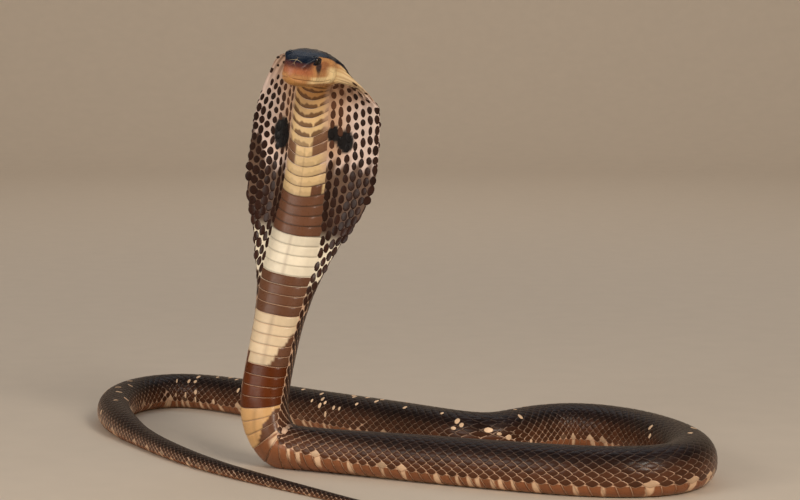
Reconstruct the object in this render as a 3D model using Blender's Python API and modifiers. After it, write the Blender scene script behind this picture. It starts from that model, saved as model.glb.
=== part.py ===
"""A spectacled cobra, reared up with its hood spread, at life size.

The whole animal is one form: cross sections set along one smooth spine, from the snout to
the tail tip, and parted into named lengths by thin gaps. Metres, +Z up. The viewer whom the
animal faces looks along +Y, with +X to the right, and the floor is z = 0.
"""

import math

import bmesh
import bpy
import numpy as np
from mathutils import Vector

MM = 0.001
GAP = 0.3 * MM  # left between nodes that meet face to face

# The middle of the ground that the animal covers. It becomes the origin.
FOOTPRINT_MIDDLE = np.array([-0.01024, 0.04407, 0.0])

# The head: the tip of the mouth line, and how the head is turned from facing the viewer
MOUTH_TIP = np.array([-0.0662, -0.0400, 0.2435])
HEAD_TURN = math.radians(27)  # towards the viewer's left
HEAD_NOD = math.radians(8)  # nose down
HEAD_TILT = math.radians(13)  # the viewer's right side down
HEAD_LENGTH = 0.036
HEAD_GUIDES = 5  # guide points laid straight along the head

# Guide points of the spine below the head, down the raised part (x, y, z)
RAISED_GUIDES = [
    (-0.0502, 0.0025, 0.2490),
    (-0.0524, 0.0112, 0.2405),
    (-0.0542, 0.0150, 0.2260),
    (-0.0553, 0.0170, 0.2080),
    (-0.0573, 0.0182, 0.1850),
    (-0.0602, 0.0182, 0.1620),
    (-0.0652, 0.0165, 0.1400),
    (-0.0702, 0.0140, 0.1180),
    (-0.0750, 0.0110, 0.0960),
    (-0.0797, 0.0080, 0.0740),
    (-0.0837, 0.0050, 0.0540),
    (-0.0862, 0.0030, 0.0360),
    (-0.0810, 0.0000, 0.0180),
]

# Guide points along the floor (x, y): the front run, the right turn, the far run, the left
# turn, and the tail that comes forward again
FLOOR_GUIDES = [
    (-0.0640, -0.0050), (-0.0420, -0.0160), (-0.0100, -0.0310), (0.0300, -0.0520),
    (0.0700, -0.0720), (0.1050, -0.0870), (0.1400, -0.0920), (0.1650, -0.0800),
    (0.1780, -0.0500), (0.1760, -0.0130), (0.1640, 0.0260), (0.1430, 0.0610),
    (0.1140, 0.0790), (0.0840, 0.0640), (0.0610, 0.0320), (0.0390, 0.0440),
    (0.0170, 0.0690), (-0.0060, 0.0940), (-0.0390, 0.1280), (-0.0750, 0.1680),
    (-0.1100, 0.2080), (-0.1420, 0.2370), (-0.1680, 0.2460), (-0.1920, 0.2290),
    (-0.2030, 0.1900), (-0.1990, 0.1480), (-0.1860, 0.1080), (-0.1700, 0.0740),
    (-0.1540, 0.0420), (-0.1370, 0.0130), (-0.1190, -0.0140), (-0.0990, -0.0400),
    (-0.0780, -0.0640), (-0.0560, -0.0880), (-0.0350, -0.1120), (-0.0120, -0.1350),
    (0.0150, -0.1530), (0.0400, -0.1640), (0.0620, -0.1690),
]

# Sizes of the cross section by distance from the snout:
# metres, then millimetres of half width, height of the back and depth of the belly
BODY_SIZES = [
    (0.0000, 2.6, 3.4, 1.2),
    (0.0006, 4.3, 5.2, 2.4),
    (0.0018, 6.0, 7.4, 3.6),
    (0.0040, 7.5, 9.6, 4.8),
    (0.0075, 9.0, 11.6, 5.8),
    (0.0120, 10.6, 13.2, 6.4),
    (0.0170, 12.0, 14.0, 7.0),
    (0.0230, 13.4, 14.2, 7.8),
    (0.0290, 14.2, 13.6, 8.6),
    (0.0350, 13.8, 12.2, 9.0),
    (0.0430, 12.6, 10.2, 8.8),
    (0.0560, 12.0, 9.2, 9.0),
    (0.0700, 12.2, 9.4, 10.0),
    (0.0900, 12.8, 9.8, 10.8),
    (0.1150, 13.6, 10.4, 11.4),
    (0.1350, 14.2, 11.0, 12.0),
    (0.1550, 14.6, 11.8, 12.4),
    (0.1950, 14.8, 13.2, 12.8),
    (0.2400, 14.8, 13.8, 13.0),
    (0.3000, 15.0, 14.2, 12.9),
    (0.4200, 15.9, 15.4, 13.4),
    (0.6000, 16.4, 16.2, 13.8),
    (0.8000, 16.0, 15.8, 13.4),
    (1.0000, 14.4, 14.2, 12.1),
    (1.1700, 12.8, 12.6, 10.9),
    (1.2500, 10.0, 9.8, 8.5),
    (1.3000, 7.0, 6.9, 6.1),
    (1.3600, 5.7, 5.5, 4.9),
    (1.4300, 4.3, 4.1, 3.7),
    (1.5100, 2.9, 2.8, 2.5),
    (1.5900, 1.4, 1.3, 1.2),
    (1.6300, 0.5, 0.5, 0.5),
]

# How far the hood stands out past the body on each side: metres, millimetres
HOOD_SPREAD = [
    (0.0330, 0.0), (0.0400, 10.2), (0.0470, 19.8), (0.0560, 24.4), (0.0680, 27.9),
    (0.0850, 29.9), (0.1050, 30.1), (0.1200, 28.3), (0.1350, 24.4), (0.1550, 15.4),
    (0.1750, 8.5), (0.1950, 3.0), (0.2150, 0.5), (0.2350, 0.0),
]

# How far the whole sheet of the hood lies towards the left: metres, millimetres
HOOD_SHIFT = [
    (0.0330, 0.0), (0.0400, 6.3), (0.0470, 6.9), (0.0560, 5.1), (0.0680, 4.4), (0.0850, 3.4),
    (0.1050, 2.9), (0.1200, 2.2), (0.1350, 0.8), (0.1600, 0.0),
]
HOOD_FULL = 12 * MM  # spread at which the section is a hood and no longer a tube
HOOD_EDGE = 2.2 * MM  # half the thickness of its edge
HOOD_SET_BACK = 3.5 * MM  # the sheet of the hood lies this far behind the spine

# How far the edges of the hood come forward again: metres, millimetres
HOOD_CUP = [
    (0.0360, 6.0), (0.0460, 5.0), (0.0570, 2.6), (0.0700, 4.6), (0.0850, 6.0), (0.2350, 6.0),
]

# How square the section is (2 is an ellipse): metres, back, belly
SQUARENESS = [
    (0.000, 2.2, 2.2), (0.006, 3.5, 2.3), (0.014, 4.6, 2.4), (0.026, 3.5, 2.4),
    (0.040, 2.3, 2.5), (0.080, 2.2, 2.6), (0.350, 2.2, 2.5), (1.300, 2.1, 2.3), (1.630, 2.0, 2.0),
]

# Which way the back faces: metres, then a direction
BACK_FACES = [
    (0.000, (math.sin(HEAD_TILT), 0.00, math.cos(HEAD_TILT))),
    (0.032, (math.sin(HEAD_TILT), 0.00, math.cos(HEAD_TILT))),
    (0.050, (0.36, 0.60, 0.56)),
    (0.066, (0.30, 0.95, 0.00)),
    (0.240, (0.32, 0.95, 0.00)),
    (0.262, (0.35, 0.90, 0.10)),
    (0.278, (0.45, 0.75, 0.35)),
    (0.295, (0.30, 0.60, 0.70)),
    (0.320, (0.00, 0.40, 0.90)),
    (0.370, (0.00, 0.10, 1.00)),
    (0.400, (0.00, 0.00, 1.00)),
    (2.000, (0.00, 0.00, 1.00)),
]
FLOOR_START = 0.20  # past this distance the spine can be on the floor
FLOOR_FLAT = 0.93  # the spine lies this share of the belly's depth above the floor
LANDING = 0.012  # height over which the raised part settles onto the floor

# Swellings and hollows of each side of the head: millimetres from the snout, degrees from
# the crown, how far each reaches along and round, and its height in millimetres
HEAD_FORMS = {
    "brow": (11.5, 45, 6.5, 12, 1.6),
    "lore": (7.8, 66, 2.8, 13, -0.6),
    "temple": (24.0, 55, 7.0, 15, 0.5),
    "cheek": (27.0, 92, 6.0, 20, 0.8),
    "upper_lip": (11.0, 90, 12.0, 6, 0.35),
    "lower_lip": (11.0, 113, 10.0, 8, 0.35),
}

# The line of the mouth, seen from the side: millimetres back from the snout and up.
# Its last points turn down behind the jaw, which parts the jaw from the head.
MOUTH_LINE = [
    (-4.0, 0.3), (0.0, 0.2), (5.0, -0.5), (11.0, -1.7), (16.0, -2.4), (21.0, -2.6),
    (25.0, -1.9), (27.5, -2.4), (29.0, -5.0), (30.5, -16.0),
]
MOUTH_CUT_HALF_WIDTH = 0.030

NOSTRIL_PLACE = (4.6 * MM, 62)  # distance from the snout, degrees from the crown
NOSTRIL_RADIUS = 0.95 * MM
NOSTRIL_DEPTH = 1.3 * MM

EYE_PLACE = (13.2 * MM, 57)
EYE_RADIUS = 2.7 * MM
EYE_SUNK = 1.40 * MM  # the centre of the eye lies this far inside the head's surface

# Belly scutes: each rises towards its rear edge and ends in a step
SCUTE_STEP = 0.5 * MM
SCUTE_SPAN = (0.97, 0.84)  # it fades out between these shares of the body's half width
SCUTE_RING = 0.06  # each scute's two rings lie this share of its length from its ends
SNOUT_BUNCHING = 2.0  # packs the head's rings towards the snout

# Lengths of the animal: start and end from the snout, points round the section, how far its
# rings lie apart, whether they are belly scutes, and the colour of its material
LENGTHS = {
    "head": (0.0, 0.036, 36, None, False, "crown"),
    "nape": (0.036, 0.060, 40, 0.0024, False, "hood"),
    "hood": (0.060, 0.200, 40, 0.0065, True, "hood"),
    "neck": (0.200, 0.275, 28, 0.0065, True, "neck"),
    "neck_base": (0.275, 0.340, 28, 0.0065, True, "neck"),
    "trunk_front": (0.340, 0.500, 20, 0.0135, True, "trunk"),
    "trunk_right_turn_near": (0.500, 0.585, 20, 0.0135, True, "trunk"),
    "trunk_right_turn_far": (0.585, 0.670, 20, 0.0135, True, "trunk"),
    "trunk_middle": (0.670, 0.825, 20, 0.0135, True, "trunk"),
    "trunk_far": (0.825, 0.965, 20, 0.0135, True, "trunk"),
    "trunk_rear": (0.965, 1.100, 20, 0.0135, True, "trunk"),
    "trunk_left_turn_far": (1.100, 1.170, 20, 0.0125, True, "trunk"),
    "trunk_left_turn_near": (1.170, 1.250, 20, 0.0125, True, "trunk"),
    "trunk_end": (1.250, 1.350, 18, 0.0110, True, "trunk"),
    "tail_root": (1.350, 1.430, 16, 0.0100, True, "tail"),
    "tail_middle": (1.430, 1.520, 14, 0.0080, False, "tail"),
    "tail_tip": (1.520, 1.630, 12, 0.0080, False, "tail"),
}
HEAD_RINGS = 34

# Base colour, roughness
COLOURS = {
    "crown": ((0.045, 0.032, 0.030), 0.30),
    "jaw": ((0.52, 0.32, 0.16), 0.40),
    "hood": ((0.30, 0.20, 0.14), 0.45),
    "neck": ((0.42, 0.31, 0.21), 0.35),
    "trunk": ((0.060, 0.035, 0.026), 0.35),
    "tail": ((0.085, 0.052, 0.040), 0.40),
    "eye": ((0.006, 0.005, 0.005), 0.08),
}


def smooth_step(value, low, high):
    share = np.clip((value - low) / (high - low), 0.0, 1.0)
    return share * share * (3.0 - 2.0 * share)


def read_curve(rows, distance, column=1):
    """A smooth curve through the rows that never swings past them, read at the distances."""
    places = np.array([row[0] for row in rows], float)
    values = np.array([row[column] for row in rows], float)
    steps = np.diff(places)
    slopes = np.diff(values) / steps
    tangents = np.concatenate([slopes[:1], np.zeros(len(rows) - 2), slopes[-1:]])
    same_way = slopes[:-1] * slopes[1:] > 0
    near = 2.0 * steps[1:] + steps[:-1]
    far = steps[1:] + 2.0 * steps[:-1]
    safe = np.where(same_way, slopes[:-1], 1.0), np.where(same_way, slopes[1:], 1.0)
    blend = (near + far) / (near / safe[0] + far / safe[1])
    tangents[1:-1] = np.where(same_way, blend, 0.0)
    cell = np.clip(np.searchsorted(places, distance) - 1, 0, len(steps) - 1)
    t = np.clip((distance - places[cell]) / steps[cell], 0.0, 1.0)
    rise = steps[cell] * (t * (1 - t) ** 2 * tangents[cell] - t * t * (1 - t) * tangents[cell + 1])
    return values[cell] + t * t * (3 - 2 * t) * (values[cell + 1] - values[cell]) + rise


def spline_points(guides, per_span=24):
    """Points along the uniform cubic B-spline of the guide points, ends included."""
    guides = np.array(guides, float)
    guides = np.vstack([2 * guides[0] - guides[1], guides, 2 * guides[-1] - guides[-2]])
    t = np.linspace(0.0, 1.0, per_span, endpoint=False)[:, None]
    weights = ((1 - t) ** 3, 3 * t**3 - 6 * t**2 + 4, -3 * t**3 + 3 * t**2 + 3 * t + 1, t**3)
    spans = [
        sum(weight * guide for weight, guide in zip(weights, guides[i:i + 4])) / 6
        for i in range(len(guides) - 3)
    ]
    last = (guides[-3] + 4 * guides[-2] + guides[-1]) / 6
    return np.vstack(spans + [last[None]])


def unit(vectors):
    return vectors / np.linalg.norm(vectors, axis=-1, keepdims=True)


def distances_along(points):
    return np.concatenate([[0.0], np.cumsum(np.linalg.norm(np.diff(points, axis=0), axis=1))])


class Spine:
    """The middle line of the animal, with the directions to its tail, back and left side."""

    def __init__(self):
        tailward = np.array([
            math.sin(HEAD_TURN) * math.cos(HEAD_NOD),
            math.cos(HEAD_TURN) * math.cos(HEAD_NOD),
            math.sin(HEAD_NOD),
        ])
        head = [MOUTH_TIP + tailward * u for u in np.linspace(0.0, HEAD_LENGTH, HEAD_GUIDES)]
        floor = [np.array([x, y, 0.0]) for x, y in FLOOR_GUIDES]
        points = spline_points(head + [np.array(guide) for guide in RAISED_GUIDES] + floor)
        distance = distances_along(points)
        resting = FLOOR_FLAT * read_curve(BODY_SIZES, distance, 3) * MM
        height = points[:, 2]
        over = height - resting
        settled = resting + 0.5 * (over + np.sqrt(over**2 + (LANDING / 3) ** 2))
        raised = smooth_step(height, 0.0, LANDING)
        landed = resting * (1 - raised) + settled * raised
        points[:, 2] = np.where(distance > FLOOR_START, landed, height)
        self.distance = distances_along(points)
        self.tail = unit(np.gradient(points, axis=0))
        wanted = np.column_stack([
            read_curve([(place, way[axis]) for place, way in BACK_FACES], self.distance)
            for axis in range(3)
        ])
        across = np.sum(wanted * self.tail, axis=1, keepdims=True)
        self.back = unit(wanted - across * self.tail)
        self.left = np.cross(self.tail, self.back)
        self.points = points - FOOTPRINT_MIDDLE

    def read(self, distance):
        """The point, and the directions to the tail, the back and the left side, there."""
        return [
            np.column_stack([np.interp(distance, self.distance, table[:, k]) for k in range(3)])
            for table in (self.points, self.tail, self.back, self.left)
        ]


def head_relief(distance, angle):
    """How far the swellings of the head stand out, at each angle from the crown."""
    round_degrees = np.degrees(np.abs((angle + np.pi) % (2 * np.pi) - np.pi))
    relief = 0.0
    for along, degrees, long, wide, height in HEAD_FORMS.values():
        near = ((distance / MM - along) / long) ** 2 + ((round_degrees - degrees) / wide) ** 2
        relief = relief + height * MM * np.exp(-near)
    return relief * smooth_step(distance, HEAD_LENGTH, HEAD_LENGTH - 0.006)


def section(distance, angle, scutes):
    """Where the skin lies, to the left and towards the back, at angles from the back.

    distance and angle are arrays that broadcast. scutes runs from 0 at the front of a belly
    scute to 1 at its rear edge, and is 0 where none is made.
    """
    core, back, belly = (read_curve(BODY_SIZES, distance, k) * MM for k in (1, 2, 3))
    spread = read_curve(HOOD_SPREAD, distance) * MM
    shift = read_curve(HOOD_SHIFT, distance) * MM
    cup = read_curve(HOOD_CUP, distance) * MM
    hood = smooth_step(spread, 0.0, HOOD_FULL)
    sine, cosine = np.sin(angle), np.cos(angle)
    upper = cosine >= 0
    power = 2.0 / np.where(
        upper, read_curve(SQUARENESS, distance, 1), read_curve(SQUARENESS, distance, 2)
    )
    x = core * np.sign(sine) * np.abs(sine) ** power + spread * sine**3 + shift * sine**4
    depth = np.where(upper, back, belly)
    share = np.abs(x) / core
    column = np.where(upper, 1 / (1 + (share / 1.25) ** 4), 1 / (1 + (share / 1.12) ** 6))
    depth = depth * (1 - hood) + (HOOD_EDGE + (depth - HOOD_EDGE) * column) * hood
    z = depth * np.sign(cosine) * np.abs(cosine) ** power
    out = np.clip((np.abs(x) - core) / np.maximum(spread, MM), 0.0, 1.0)
    z = z + hood * (HOOD_SET_BACK * (1 - 1 / (1 + (share / 1.3) ** 4)) - cup * out**2)
    on_belly = np.where(upper, 0.0, smooth_step(share, *SCUTE_SPAN))
    relief = SCUTE_STEP * scutes * on_belly + head_relief(distance, angle)
    return x + relief * sine, z + relief * cosine


def skin(spine, distance, angle, scutes=0.0):
    """Skin points as an array of rings, one ring for each distance."""
    point, _, back, left = spine.read(distance)
    x, z = section(distance[:, None], angle[None, :], np.reshape(scutes, (-1, 1)))
    rings = point[:, None] + x[..., None] * left[:, None] + z[..., None] * back[:, None]
    on_floor = (distance > FLOOR_START)[:, None]
    rings[..., 2] = np.where(on_floor, np.maximum(rings[..., 2], 0.0), rings[..., 2])
    return rings


def ring_places(start, end, spacing, has_scutes):
    """Distances of the rings of a length, and how far each lies along its scute."""
    first, last = start + GAP / 2, end - GAP / 2
    count = round((last - first) / spacing)
    if not has_scutes:
        return np.linspace(first, last, count + 1), np.zeros(count + 1)
    pair = np.array([SCUTE_RING, 1 - SCUTE_RING])
    phase = np.tile(pair, count)
    places = first + (last - first) * (np.repeat(np.arange(count), 2) + phase) / count
    places[0], places[-1] = first, last
    return places, phase


def material(name):
    colour, roughness = COLOURS[name]
    made = bpy.data.materials.get(name) or bpy.data.materials.new(name)
    made.use_nodes = True
    shader = made.node_tree.nodes["Principled BSDF"]
    shader.inputs["Base Color"].default_value = (*colour, 1.0)
    shader.inputs["Roughness"].default_value = roughness
    shader.inputs["Metallic"].default_value = 0.0
    return made


def add_object(name, mesh, colour, collection):
    mesh.shade_smooth()
    mesh.set_sharp_from_angle(angle=math.radians(30))
    made = bpy.data.objects.new(name, mesh)
    mesh.materials.clear()
    mesh.materials.append(material(colour))
    collection.objects.link(made)
    return made


def loft(name, rings):
    """A closed mesh through rings of points, with a flat cap at each end."""
    shape = bmesh.new()
    rows = [[shape.verts.new(point) for point in ring] for ring in rings]
    for row, following in zip(rows, rows[1:]):
        for i in range(len(row)):
            j = (i + 1) % len(row)
            shape.faces.new((row[i], row[j], following[j], following[i]))
    shape.faces.new(rows[0])
    shape.faces.new(rows[-1])
    bmesh.ops.recalc_face_normals(shape, faces=shape.faces)
    mesh = bpy.data.meshes.new(name)
    shape.to_mesh(mesh)
    shape.free()
    return mesh


def head_place(spine, distance, degrees, side, sunk=0.0):
    """A point on the head's surface, or sunk below it, and the direction out of it."""
    angle = side * math.radians(degrees)
    step = 0.2 * MM
    places = np.array([distance - step, distance, distance + step])
    turns = np.array([angle - 0.03, angle, angle + 0.03])
    patch = skin(spine, places, turns)
    out = unit(np.cross(patch[1, 2] - patch[1, 0], patch[2, 1] - patch[0, 1]))
    middle = spine.read(np.array([distance]))[0][0]
    out = out if np.dot(out, patch[1, 1] - middle) > 0 else -out
    return patch[1, 1] - out * sunk, out


def ball(name, centre, radius, axis=None, depth=None, segments=16):
    """A closed ball mesh, drawn out to depth along an axis where one is given."""
    shape = bmesh.new()
    bmesh.ops.create_uvsphere(shape, u_segments=segments, v_segments=segments // 2, radius=radius)
    if axis is not None:
        turn = Vector((0, 0, 1)).rotation_difference(Vector(axis))
        bmesh.ops.scale(shape, vec=(1, 1, (depth or radius) / radius), verts=shape.verts)
        bmesh.ops.rotate(shape, matrix=turn.to_matrix(), verts=shape.verts)
    bmesh.ops.translate(shape, vec=Vector(centre), verts=shape.verts)
    mesh = bpy.data.meshes.new(name)
    shape.to_mesh(mesh)
    shape.free()
    return mesh


def mouth_cutter(spine):
    """A thin strip along the line of the mouth, wider than the head."""
    origin, tail, back, left = (table[0] for table in spine.read(np.array([0.006])))
    origin = origin - tail * 0.006
    shape = bmesh.new()
    rows = []
    for along, up in MOUTH_LINE:
        middle = origin + tail * along * MM + back * up * MM
        rows.append([
            shape.verts.new(middle + left * side * MOUTH_CUT_HALF_WIDTH) for side in (-1, 1)
        ])
    for row, following in zip(rows, rows[1:]):
        shape.faces.new((row[0], row[1], following[1], following[0]))
    mesh = bpy.data.meshes.new("mouth_cutter")
    shape.to_mesh(mesh)
    shape.free()
    cutter = bpy.data.objects.new("mouth_cutter", mesh)
    thickness = cutter.modifiers.new("thickness", "SOLIDIFY")
    thickness.thickness = GAP
    thickness.offset = 0.0
    return cutter


def applied(target):
    """The target's mesh with its modifiers applied, as a new mesh."""
    bpy.context.view_layer.update()
    graph = bpy.context.evaluated_depsgraph_get()
    mesh = bpy.data.meshes.new_from_object(target.evaluated_get(graph))
    target.modifiers.clear()
    return mesh


def separate_bodies(mesh):
    """The closed surfaces of a mesh as meshes of their own, the largest first."""
    whole = bmesh.new()
    whole.from_mesh(mesh)
    left_over = set(whole.verts)
    bodies = []
    while left_over:
        body = set()
        edge_of_body = [left_over.pop()]
        while edge_of_body:
            vertex = edge_of_body.pop()
            body.add(vertex)
            for edge in vertex.link_edges:
                other = edge.other_vert(vertex)
                if other in left_over:
                    left_over.discard(other)
                    edge_of_body.append(other)
        bodies.append(body)
    found = []
    for body in sorted(bodies, key=len, reverse=True):
        part = whole.copy()
        keep = {vertex.index for vertex in body}
        part.verts.ensure_lookup_table()
        unwanted = [vertex for vertex in part.verts if vertex.index not in keep]
        bmesh.ops.delete(part, geom=unwanted, context="VERTS")
        made = bpy.data.meshes.new("body")
        part.to_mesh(made)
        found.append((part.calc_volume(), made))
        part.free()
    whole.free()
    found.sort(key=lambda pair: pair[0], reverse=True)
    return [made for _, made in found]


def cut(target, cutters, collection):
    """Takes closed cutters out of the target and gives back the new mesh."""
    for cutter in cutters:
        cutter.hide_render = True
        cutter.display_type = "WIRE"
        collection.objects.link(cutter)
        boolean = target.modifiers.new(cutter.name, "BOOLEAN")
        boolean.operation = "DIFFERENCE"
        boolean.object = cutter
    return applied(target)


def make_head(spine, parts, cutters):
    """The head and, parted from it along the line of the mouth, the lower jaw."""
    start, end, points, _, _, colour = LENGTHS["head"]
    share = np.linspace(0.0, 1.0, HEAD_RINGS)
    bunched = (np.exp(SNOUT_BUNCHING * share) - 1) / (math.exp(SNOUT_BUNCHING) - 1)
    places = start + (end - GAP / 2 - start) * bunched
    angles = np.linspace(0.0, 2 * np.pi, points, endpoint=False)
    head = add_object("head", loft("head", skin(spine, places, angles)), colour, parts)
    tools = [mouth_cutter(spine)]
    for side, hand in ((1, "left"), (-1, "right")):
        nostril, out = head_place(spine, *NOSTRIL_PLACE, side)
        tools.append(bpy.data.objects.new(
            f"nostril_cutter_{hand}",
            ball("nostril", nostril, NOSTRIL_RADIUS, out, NOSTRIL_DEPTH, 10),
        ))
        eye, _ = head_place(spine, *EYE_PLACE, side, EYE_SUNK)
        tools.append(bpy.data.objects.new(
            f"socket_cutter_{hand}", ball("socket", eye, EYE_RADIUS + GAP)
        ))
        add_object(f"eye_{hand}", ball("eye", eye, EYE_RADIUS), "eye", parts)
    bodies = separate_bodies(cut(head, tools, cutters))
    head.data = bodies[0]
    head.data.name = "head"
    head.data.materials.clear()
    head.data.materials.append(material(colour))
    add_object("lower_jaw", bodies[1], "jaw", parts)


def make_length(spine, name, parts):
    """One plain length of the body, with its belly scutes raised in its own surface."""
    start, end, points, spacing, has_scutes, colour = LENGTHS[name]
    places, phase = ring_places(start, end, spacing, has_scutes)
    angles = np.linspace(0.0, 2 * np.pi, points, endpoint=False)
    add_object(name, loft(name, skin(spine, places, angles, phase)), colour, parts)


def clear_scene():
    for existing in list(bpy.data.objects):
        bpy.data.objects.remove(existing, do_unlink=True)


def collection(name):
    made = bpy.data.collections.new(name)
    bpy.context.scene.collection.children.link(made)
    return made


def main():
    clear_scene()
    parts = collection("cobra")
    cutters = collection("cutters")
    spine = Spine()
    make_head(spine, parts, cutters)
    for name in LENGTHS:
        if name != "head":
            make_length(spine, name, parts)


main()
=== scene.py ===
"""A spectacled cobra, reared up with its hood spread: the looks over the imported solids.

One skin replaces every node of flesh. Belly scutes and smooth scales lie on it as closed
plates, set out by row and by distance from the snout, and the eyes are pieces of their own.
Metres, +Z up. The viewer whom the animal faces looks along +Y, with +X to the right.
"""

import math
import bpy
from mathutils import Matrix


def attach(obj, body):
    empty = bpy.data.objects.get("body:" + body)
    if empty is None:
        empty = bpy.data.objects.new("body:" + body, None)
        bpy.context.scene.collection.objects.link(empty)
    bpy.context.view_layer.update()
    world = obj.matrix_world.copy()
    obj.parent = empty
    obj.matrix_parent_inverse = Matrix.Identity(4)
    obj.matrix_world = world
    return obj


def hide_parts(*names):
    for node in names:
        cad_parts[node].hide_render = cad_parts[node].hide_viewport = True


bl_info = {
    "name": "Cobra Finish",
    "version": (1, 0, 0),
    "blender": (4, 5, 0),
    "location": "View3D > Sidebar > Cobra",
    "description": "Skin, scales, belly scutes, eyes and studio of a life-size cobra model",
    "category": "Object",
}

import bmesh
import bpy
import numpy as np
from mathutils import Vector

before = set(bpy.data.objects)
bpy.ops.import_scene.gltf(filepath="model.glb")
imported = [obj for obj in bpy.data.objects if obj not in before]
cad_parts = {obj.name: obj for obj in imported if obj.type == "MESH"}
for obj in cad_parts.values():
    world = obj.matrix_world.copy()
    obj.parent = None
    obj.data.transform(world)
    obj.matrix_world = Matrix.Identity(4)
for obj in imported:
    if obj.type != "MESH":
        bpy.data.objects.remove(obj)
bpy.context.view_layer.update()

MM = 0.001

# The shape of the animal, as the solids have it
FOOTPRINT_MIDDLE = np.array([-0.01024, 0.04407, 0.0])
MOUTH_TIP = np.array([-0.0662, -0.0400, 0.2435])
HEAD_TURN = math.radians(27)
HEAD_NOD = math.radians(8)
HEAD_TILT = math.radians(13)
HEAD_LENGTH = 0.036
HEAD_GUIDES = 5
TOTAL_LENGTH = 1.630

# Guide points of the spine below the head, down the raised part (x, y, z)
RAISED_GUIDES = [
    (-0.0502, 0.0025, 0.2490), (-0.0524, 0.0112, 0.2405), (-0.0542, 0.0150, 0.2260),
    (-0.0553, 0.0170, 0.2080), (-0.0573, 0.0182, 0.1850), (-0.0602, 0.0182, 0.1620),
    (-0.0652, 0.0165, 0.1400), (-0.0702, 0.0140, 0.1180), (-0.0750, 0.0110, 0.0960),
    (-0.0797, 0.0080, 0.0740), (-0.0837, 0.0050, 0.0540), (-0.0862, 0.0030, 0.0360),
    (-0.0810, 0.0000, 0.0180),
]

# Guide points along the floor (x, y)
FLOOR_GUIDES = [
    (-0.0640, -0.0050), (-0.0420, -0.0160), (-0.0100, -0.0310), (0.0300, -0.0520),
    (0.0700, -0.0720), (0.1050, -0.0870), (0.1400, -0.0920), (0.1650, -0.0800),
    (0.1780, -0.0500), (0.1760, -0.0130), (0.1640, 0.0260), (0.1430, 0.0610),
    (0.1140, 0.0790), (0.0840, 0.0640), (0.0610, 0.0320), (0.0390, 0.0440),
    (0.0170, 0.0690), (-0.0060, 0.0940), (-0.0390, 0.1280), (-0.0750, 0.1680),
    (-0.1100, 0.2080), (-0.1420, 0.2370), (-0.1680, 0.2460), (-0.1920, 0.2290),
    (-0.2030, 0.1900), (-0.1990, 0.1480), (-0.1860, 0.1080), (-0.1700, 0.0740),
    (-0.1540, 0.0420), (-0.1370, 0.0130), (-0.1190, -0.0140), (-0.0990, -0.0400),
    (-0.0780, -0.0640), (-0.0560, -0.0880), (-0.0350, -0.1120), (-0.0120, -0.1350),
    (0.0150, -0.1530), (0.0400, -0.1640), (0.0620, -0.1690),
]

# Sizes of the cross section by distance from the snout:
# metres, then millimetres of half width, height of the back and depth of the belly
BODY_SIZES = [
    (0.0000, 2.6, 3.4, 1.2),
    (0.0006, 4.3, 5.2, 2.4),
    (0.0018, 6.0, 7.4, 3.6),
    (0.0040, 7.5, 9.6, 4.8),
    (0.0075, 9.0, 11.6, 5.8),
    (0.0120, 10.6, 13.2, 6.4),
    (0.0170, 12.0, 14.0, 7.0),
    (0.0230, 13.4, 14.2, 7.8),
    (0.0290, 14.2, 13.6, 8.6),
    (0.0350, 13.8, 12.2, 9.0),
    (0.0430, 12.6, 10.2, 8.8),
    (0.0560, 12.0, 9.2, 9.0),
    (0.0700, 12.2, 9.4, 10.0),
    (0.0900, 12.8, 9.8, 10.8),
    (0.1150, 13.6, 10.4, 11.4),
    (0.1350, 14.2, 11.0, 12.0),
    (0.1550, 14.6, 11.8, 12.4),
    (0.1950, 14.8, 13.2, 12.8),
    (0.2400, 14.8, 13.8, 13.0),
    (0.3000, 15.0, 14.2, 12.9),
    (0.4200, 15.9, 15.4, 13.4),
    (0.6000, 16.4, 16.2, 13.8),
    (0.8000, 16.0, 15.8, 13.4),
    (1.0000, 14.4, 14.2, 12.1),
    (1.1700, 12.8, 12.6, 10.9),
    (1.2500, 10.0, 9.8, 8.5),
    (1.3000, 7.0, 6.9, 6.1),
    (1.3600, 5.7, 5.5, 4.9),
    (1.4300, 4.3, 4.1, 3.7),
    (1.5100, 2.9, 2.8, 2.5),
    (1.5900, 1.4, 1.3, 1.2),
    (1.6300, 0.5, 0.5, 0.5),
]

# How far the hood stands out past the body on each side: metres, millimetres
HOOD_SPREAD = [
    (0.0330, 0.0), (0.0400, 10.2), (0.0470, 19.8), (0.0560, 24.4), (0.0680, 27.9),
    (0.0850, 29.9), (0.1050, 30.1), (0.1200, 28.3), (0.1350, 24.4), (0.1550, 15.4),
    (0.1750, 8.5), (0.1950, 3.0), (0.2150, 0.5), (0.2350, 0.0),
]

# How far the whole sheet of the hood lies towards the left: metres, millimetres
HOOD_SHIFT = [
    (0.0330, 0.0), (0.0400, 6.3), (0.0470, 6.9), (0.0560, 5.1), (0.0680, 4.4), (0.0850, 3.4),
    (0.1050, 2.9), (0.1200, 2.2), (0.1350, 0.8), (0.1600, 0.0),
]
HOOD_FULL = 12 * MM  # the spread from which the section is wholly that of a hood
HOOD_EDGE = 2.2 * MM
HOOD_SET_BACK = 3.5 * MM

# How far the edges of the hood come forward again: metres, millimetres
HOOD_CUP = [
    (0.0360, 6.0), (0.0460, 5.0), (0.0570, 2.6), (0.0700, 4.6), (0.0850, 6.0), (0.2350, 6.0),
]

# How square the section is (2 is an ellipse): metres, back, belly
SQUARENESS = [
    (0.000, 2.2, 2.2), (0.006, 3.5, 2.3), (0.014, 4.6, 2.4), (0.026, 3.5, 2.4),
    (0.040, 2.3, 2.5), (0.080, 2.2, 2.6), (0.350, 2.2, 2.5), (1.300, 2.1, 2.3), (1.630, 2.0, 2.0),
]

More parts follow.
